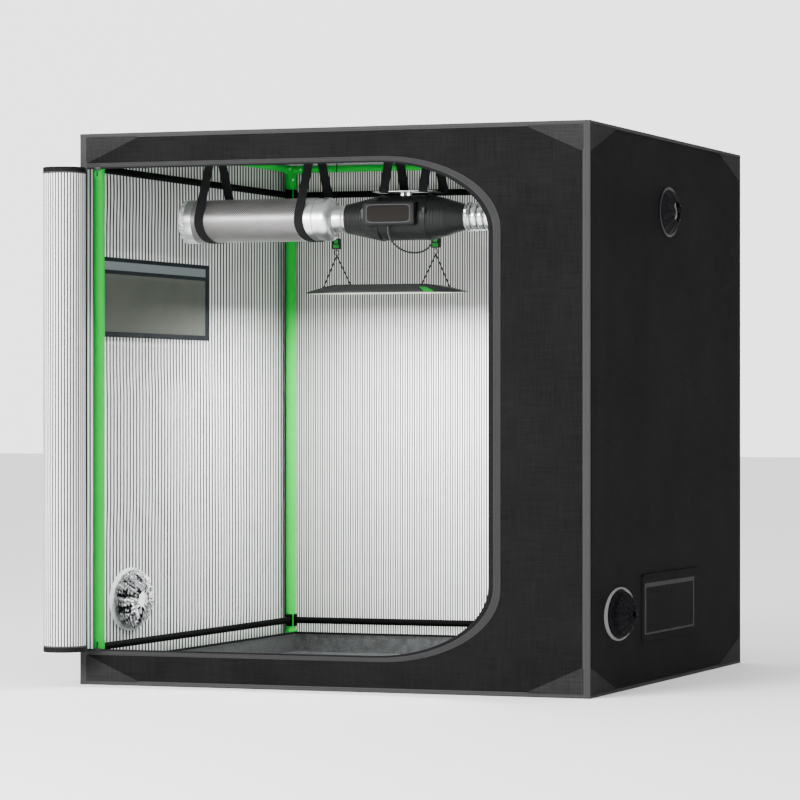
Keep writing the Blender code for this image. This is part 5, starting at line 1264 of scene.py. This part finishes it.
# Lead: a thin black cable that leaves the gland, hangs in one loop and goes into the fan's casing.
rubber_skin = Skin("black_cable_sheath")
rubber_fine = rubber_skin.noise(320, 4, 0.6)
rubber_skin = rubber_skin.dress(rubber_skin.mix(rubber_fine, (0.008, 0.008, 0.009), (0.02, 0.02, 0.021)),
                                (rubber_fine, 0.3, 0.7, 0.35, 0.5), rubber_fine, 0.0001, 0.4)
lead_thick = 0.0066
lead_start, lead_finish = np.array((0.057, -0.534, 1.6867)), np.array((0.197, -0.45, 1.6449))
lead_share = np.linspace(0, 1, 23)[:, None]
lead_reach = grid(smooth_share(lead_share), smooth_share(lead_share), lead_share)[:, 0]
lead_line = lead_start + (lead_finish - lead_start) * lead_reach
lead_line[:, 2:] -= lead_thick + 0.061 * np.sin(math.pi * lead_share)
lead_line = np.concatenate([lead_start[None], lead_line, lead_finish[None]])
lead_curve = bpy.data.curves.new("fan_cable", "CURVE")
lead_curve.dimensions = "3D"
lead_curve.bevel_depth = lead_thick / 2
lead_curve.bevel_resolution = 6
lead_curve.resolution_u = 6
lead_curve.use_fill_caps = True
lead_run = lead_curve.splines.new("BEZIER")
lead_run.bezier_points.add(len(lead_line) - 1)
for bezier, spot in zip(lead_run.bezier_points, lead_line):
    bezier.co = spot
    bezier.handle_left_type = bezier.handle_right_type = "AUTO"
lead_curve.materials.append(rubber_skin)
lead = put_in("fan_cable", lead_curve)
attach(lead, "tent")
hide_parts("fan_lead")
float(run_along(lead_line)[-1])


# Straps: black webbing pulled taut round the hanging bar and what it carries, a little askew.
webbing = ribbed_tape("black_webbing", (0.0055, 0.0055, 0.006), 0.0019, False)


def belt_net(x, circles):
    """Belt round circles of (y, z, radius): for each angle the furthest circle carries the belt.

    Point at angle a: c + (r + offset) (cos a, sin a), with c and r of the largest c . n + r.
    """
    wide, thick = 0.036, 0.0015
    turn = np.linspace(0, math.tau, 145)
    normal = grid(np.cos(turn), np.sin(turn))
    spots = np.array(circles)
    carried = (normal @ spots[:, :2].T + spots[:, 2]).argmax(axis=1)
    carried[-1] = carried[0]
    step = np.stack([spots[carried, :2] + spots[carried, 2:] * normal, normal], 1)
    line = [step[0]]
    for k in range(1, len(turn)):
        if carried[k] != carried[k - 1]:
            line += [line[-1] + (step[k] - line[-1]) * s for s in (0.12, 0.3, 0.5, 0.7, 0.88)]
        line.append(step[k])
    place, out = np.array(line).swapaxes(0, 1)
    out /= np.linalg.norm(out, axis=1, keepdims=True)
    across = wide * np.array([-0.5, -0.47, -0.25, 0, 0.25, 0.47, 0.5])[:, None]
    rise = fit_gap + thick * np.array([0.62, 0.95, 1, 1, 1, 0.95, 0.62])
    low = fit_gap + thick * np.array([0.3, 0.02, 0.02, 0.02, 0.02, 0.02, 0.3])
    askew = x + 0.44 * (place[:, 0] - filter_y) + across
    faces = [grid(askew, *np.moveaxis(place + out * height[:, None, None], -1, 0)) for height in (rise, low)]
    return shell_net(*faces, grid(across, run_along(place)))


on_bar = (filter_y, top_rail_z, bar_radius)
round_can = (*duct_axis[1:], 0.0825)
on_plate = [(filter_y + way * 0.048, 1.8255, 0.0028) for way in (-1, 1)]
for name, x, circles in (("filter_strap_1", -0.674, [on_bar, round_can]),
                         ("filter_strap_2", -0.267, [on_bar, round_can]),
                         ("fan_strap_1", 0.05, [on_bar, *on_plate]),
                         ("fan_strap_2", 0.205, [on_bar, *on_plate])):
    make_piece(f"{name}_belt", [belt_net(x, circles)], [webbing], "tent", [name], "black_webbing")


# Duct: thin foil laminated over a wire coil, so it stands in ribs and creases between them. A worm
# drive clip holds each end.
def along_path(line, radius, sides):
    """Tube round a line of points; radius is one number or one for each ring and side."""
    way = np.gradient(line, axis=0)
    way /= np.linalg.norm(way, axis=1, keepdims=True)
    side = np.cross(way, (0, 0, 1) if abs(way[:, 2]).max() < 0.95 else (0, 1, 0))
    side /= np.linalg.norm(side, axis=1, keepdims=True)
    turn = np.linspace(0, math.tau, sides + 1)
    ring = (np.cos(turn)[:, None] * side[:, None] + np.sin(turn)[:, None] * np.cross(side, way)[:, None])
    points = line[:, None] + np.broadcast_to(radius, (len(line), sides + 1))[..., None] * ring
    return points, grid(turn * np.max(radius), run_along(line)[:, None])


duct_begin, duct_finish = np.array((0.3373, -0.45, 1.728)), np.array((0.998, -0.017, 1.755))
stub = 0.11
bend_a, bend_d = duct_begin + (stub, 0, 0), duct_finish - (stub, 0, 0)
bend_pull = (bend_d - bend_a) * (0.55, 0, 0)
bend_b, bend_c = bend_a + bend_pull, bend_d - bend_pull
duct_rings = np.linspace(0, 1, 385)[:, None]
straight = stub / (np.linalg.norm(bend_d - bend_a) + 2 * stub)
t = np.clip((duct_rings - straight) / (1 - 2 * straight), 0, 1)
duct_line = (bend_a * (1 - t) ** 3 + 3 * bend_b * t * (1 - t) ** 2 + 3 * bend_c * t * t * (1 - t)
             + bend_d * t ** 3)
beyond = np.minimum(duct_rings - straight, 0) + np.maximum(duct_rings - 1 + straight, 0)
duct_line[:, :1] += beyond / straight * stub
duct_turn = np.linspace(0, math.tau, 65)
rib = np.abs(np.sin(math.pi * 32 * duct_rings)) ** 0.8
crease = (0.00045 * np.sin(13 * duct_turn + 37 * duct_rings) * np.sin(29 * duct_turn)
          + 0.0003 * np.sin(41 * duct_turn + 3)) * (1 - rib)
hose, hose_uv = along_path(duct_line, 0.0492 + 0.0036 * rib + crease, 64)
bore, _ = along_path(duct_line, 0.0462 + 0.0018 * rib, 64)
duct_skin = Skin("silver_duct_foil")
duct_crease = duct_skin.noise(34, 3, 0.6)
# Painted shade: the valleys between the ribs are coloured dark, the crests silver.
duct_painted_valley_shade = duct_skin.spread(duct_skin.flat()[1], 0.1, 0.75)
duct_tone = duct_skin.mix(duct_skin.spread(duct_crease, 0.35, 0.7), (0.8, 0.81, 0.83), (0.66, 0.67, 0.69))
duct_skin = duct_skin.dress(duct_skin.mix(duct_painted_valley_shade, (0.12, 0.12, 0.125), duct_tone),
                            (duct_crease, 0.3, 0.7, 0.14, 0.32), duct_crease, 0.0006, 0.5, metal=0.95)
# The first uv channel carries the rib height for the painted valley shade.
duct_nets = [shell_net(hose, bore, grid(rib, hose_uv[..., 1]))]
clip = [(0, 0.0524), (0, 0.0536), (0.0006, 0.054), (0.0084, 0.054), (0.009, 0.0536), (0.009, 0.0524)]
for spot in np.array(((0.346, -0.45, 1.728), (0.958, -0.017, 1.755))):
    duct_nets += [turned(spot, (1, 0, 0), clip, 64, 1),
                  rounded_box(spot + (-0.002, -0.0605, 0.008), spot + (0.011, -0.051, 0.026), 0.0018, 1)]
make_piece("ribbed_duct", duct_nets, [duct_skin, grey_metal], "tent", ["exhaust_duct"], "silver_foil",
           sharp=70)


# Lamp: a slim cast housing with pointed ends, and under it a white board of small bare chips. Each
# of its two wire hangers meets in a ring under a ratchet, and a rope runs from there to the bar.
lamp_spot = np.array((-0.1085, lamp_y, 1.459))
lamp_half, crown_half, crown_up = 0.3185, 0.189, 0.033
lamp_corners = [(lamp_half, -0.025), (lamp_half, 0.025), (0.18, 0.1), (-0.18, 0.1), (-lamp_half, 0.025),
                (-lamp_half, -0.025), (-0.18, -0.1), (0.18, -0.1), (lamp_half, -0.025)]
crown_corners = [(crown_half, -0.066), (crown_half, 0.066), (0.144, 0.077), (-0.144, 0.077),
                 (-crown_half, 0.066), (-crown_half, -0.066), (-0.144, -0.077), (0.144, -0.077),
                 (crown_half, -0.066)]


def outline(corners):
    """Closed outline with twenty places on every side."""
    corners = np.array(corners)
    steps = np.linspace(0, 1, 21)[:-1, None]
    sides = [start + (end - start) * steps for start, end in zip(corners, corners[1:])]
    return np.concatenate(sides + [corners[:1]])


base, crown = outline(lamp_corners), outline(crown_corners)
shrunk = base * (1 - 0.006 / np.maximum(np.hypot(*base.T), 0.02))[:, None]
rows = [(shrunk * 0.0, 0.0005), (shrunk, 0.0005), (shrunk, 0.0016), (base * 0.998, 0.0016), (base, 0.0022),
        (base, 0.0052), (base * 0.997, 0.006)]
rows += [(base + (crown - base) * s, 0.006 + 0.027 * (s * 0.75 + 0.25 * math.sin(s * math.pi / 2)))
         for s in (0.1, 0.25, 0.5, 0.75, 0.92)]
rows += [(crown, 0.0327), (crown * 0.99, crown_up)]
rows += [(crown * 0.985 * s, 0.0326 if k % 2 else crown_up) for k, s in enumerate(np.linspace(1, 0, 30))]
lamp_points = np.stack([grid(*plan.T, level) for plan, level in rows]) + lamp_spot
lamp_slots = np.zeros((len(rows) - 1, len(base) - 1), int)
lamp_slots[0] = 1
lamp_slots[11:14] = 2
lamp_slots[3:9, 141:146] = 3
lamp_slots[3:8, 78:92] = 3
lamp_skin = powder_coat("lamp_grey_coat", (0.021, 0.0215, 0.0215), 0.5, 0.15)
dark_edge = powder_coat("lamp_dark_edge", (0.004, 0.004, 0.0042), 0.45, 0.1)
green_plastic = moulded("green_moulded_plastic", (0.006, 0.22, 0.02), 0.45)
chip_skin = Skin("chip_board")
_, across, along = chip_skin.flat()
chip_dots = chip_skin.spread(chip_skin.maths("MULTIPLY", chip_skin.wave(across, 0.012),
                                             chip_skin.wave(along, 0.012)), 0.35, 0.5)
chip_skin = chip_skin.dress(chip_skin.mix(chip_dots, (0.93, 0.93, 0.92), (0.85, 0.78, 0.4)),
                            (chip_skin.noise(40), 0.3, 0.7, 0.35, 0.5), chip_dots, 0.0008, 0.6)
make_piece("slim_lamp", [(lamp_points, lamp_points[..., :2], lamp_slots)],
           [lamp_skin, chip_skin, dark_edge, green_plastic], "lamp", ["lamp_housing"], "lamp_shell", sharp=28)

wire_skin = moulded("coated_hanger_wire", (0.006, 0.006, 0.0065), 0.5)
rope_skin = Skin("braided_rope")
_, across, along = rope_skin.flat()
rope_lay = rope_skin.lifted(rope_skin.maths("MULTIPLY", *(
    rope_skin.wave(rope_skin.maths(slant, across, along), 0.0026) for slant in ("ADD", "SUBTRACT"))))
rope_skin = rope_skin.dress(rope_skin.mix(rope_lay, (0.002, 0.002, 0.0024), (0.007, 0.007, 0.0075)),
                            (rope_lay, 0, 1, 0.6, 0.8), rope_lay, 0.0004, 0.8, 0.05)


def rod_net(line, radius, sides, skin):
    """Closed round rod along a line."""
    return *capped(*along_path(line, radius, sides), line[0], line[-1]), skin


def hoop_net(middle, first, second, half, thick, scale, steps, skin):
    """Ring of round wire: middle + half (cos a first + sin a second), with its section of radius thick."""
    first, second = np.array(first, float), np.array(second, float)
    turn, cross = np.linspace(0, math.tau, steps)[:, None, None], np.linspace(0, math.tau, 13)[:, None]
    way = np.cos(turn) * first + np.sin(turn) * second
    axle = np.abs(np.cross(first, second))
    points = middle + half * way + thick * (np.cos(cross) * way + np.sin(cross) * axle)
    return points, grid(scale[0] * cross[:, 0], scale[1] * turn[..., 0]), skin


for label, over in (("left", -0.203), ("right", 0.203)):
    middle = lamp_spot + (over, 0, 0)
    nets = []
    for foot in (-0.057, 0.057):
        edge = crown_up - 0.027 * max(0, abs(over + foot) - crown_half) / (lamp_half - crown_half)
        low, top = middle + (foot, 0, edge + 0.001), middle + (0, 0, 0.1475)
        nets += [rod_net(top + (low - top) * np.linspace(0, 1, 14)[:, None], 0.0024, 12, 1),
                 rounded_box(low + (-0.004, -0.006, -0.0008), low + (0.004, 0.006, 0.0028), 0.0012)]
    nets += [hoop_net(middle + (0, 0, 0.158), (1, 0, 0), (0, 0, 1), (0.0075, 0, 0.0115), 0.0014,
                      (0.0014, 0.01), 33, 1),
             rounded_box(middle + (-0.017, -0.008, 0.171), middle + (0.017, 0.008, 0.213), 0.0045,
                         sides=48, rows=28),
             rounded_box(middle + (-0.0115, -0.0088, 0.1755), middle + (0.0115, -0.0074, 0.189), 0.0008, 2),
             rounded_box(middle + (-0.0075, -0.0088, 0.194), middle + (0.0075, -0.0074, 0.2085), 0.0008, 2)]
    make_piece(f"ratchet_{label}", nets, [black_plastic, wire_skin, green_plastic], "lamp",
               [f"lamp_ratchet_{label}"], "black_plastic")

    rope_x = float(middle[0])
    line = grid(rope_x, lamp_y, np.linspace(1.6723, 1.998, 40))
    rope = make_piece(f"rope_{label}", [rod_net(line, 0.002, 16, 0)], [rope_skin], None,
                      [f"lamp_rope_{label}"], "black_webbing")
    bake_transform(rope)
    loop = hoop_net((rope_x, lamp_y, top_rail_z), (0, 0, -1), (0, 1, 0), 0.0147, 0.0019, (0.002, 0.0147),
                    41, 0)
    make_piece(f"rope_loop_{label}", [loop], [rope_skin], "lamp_bar", [], "black_webbing")
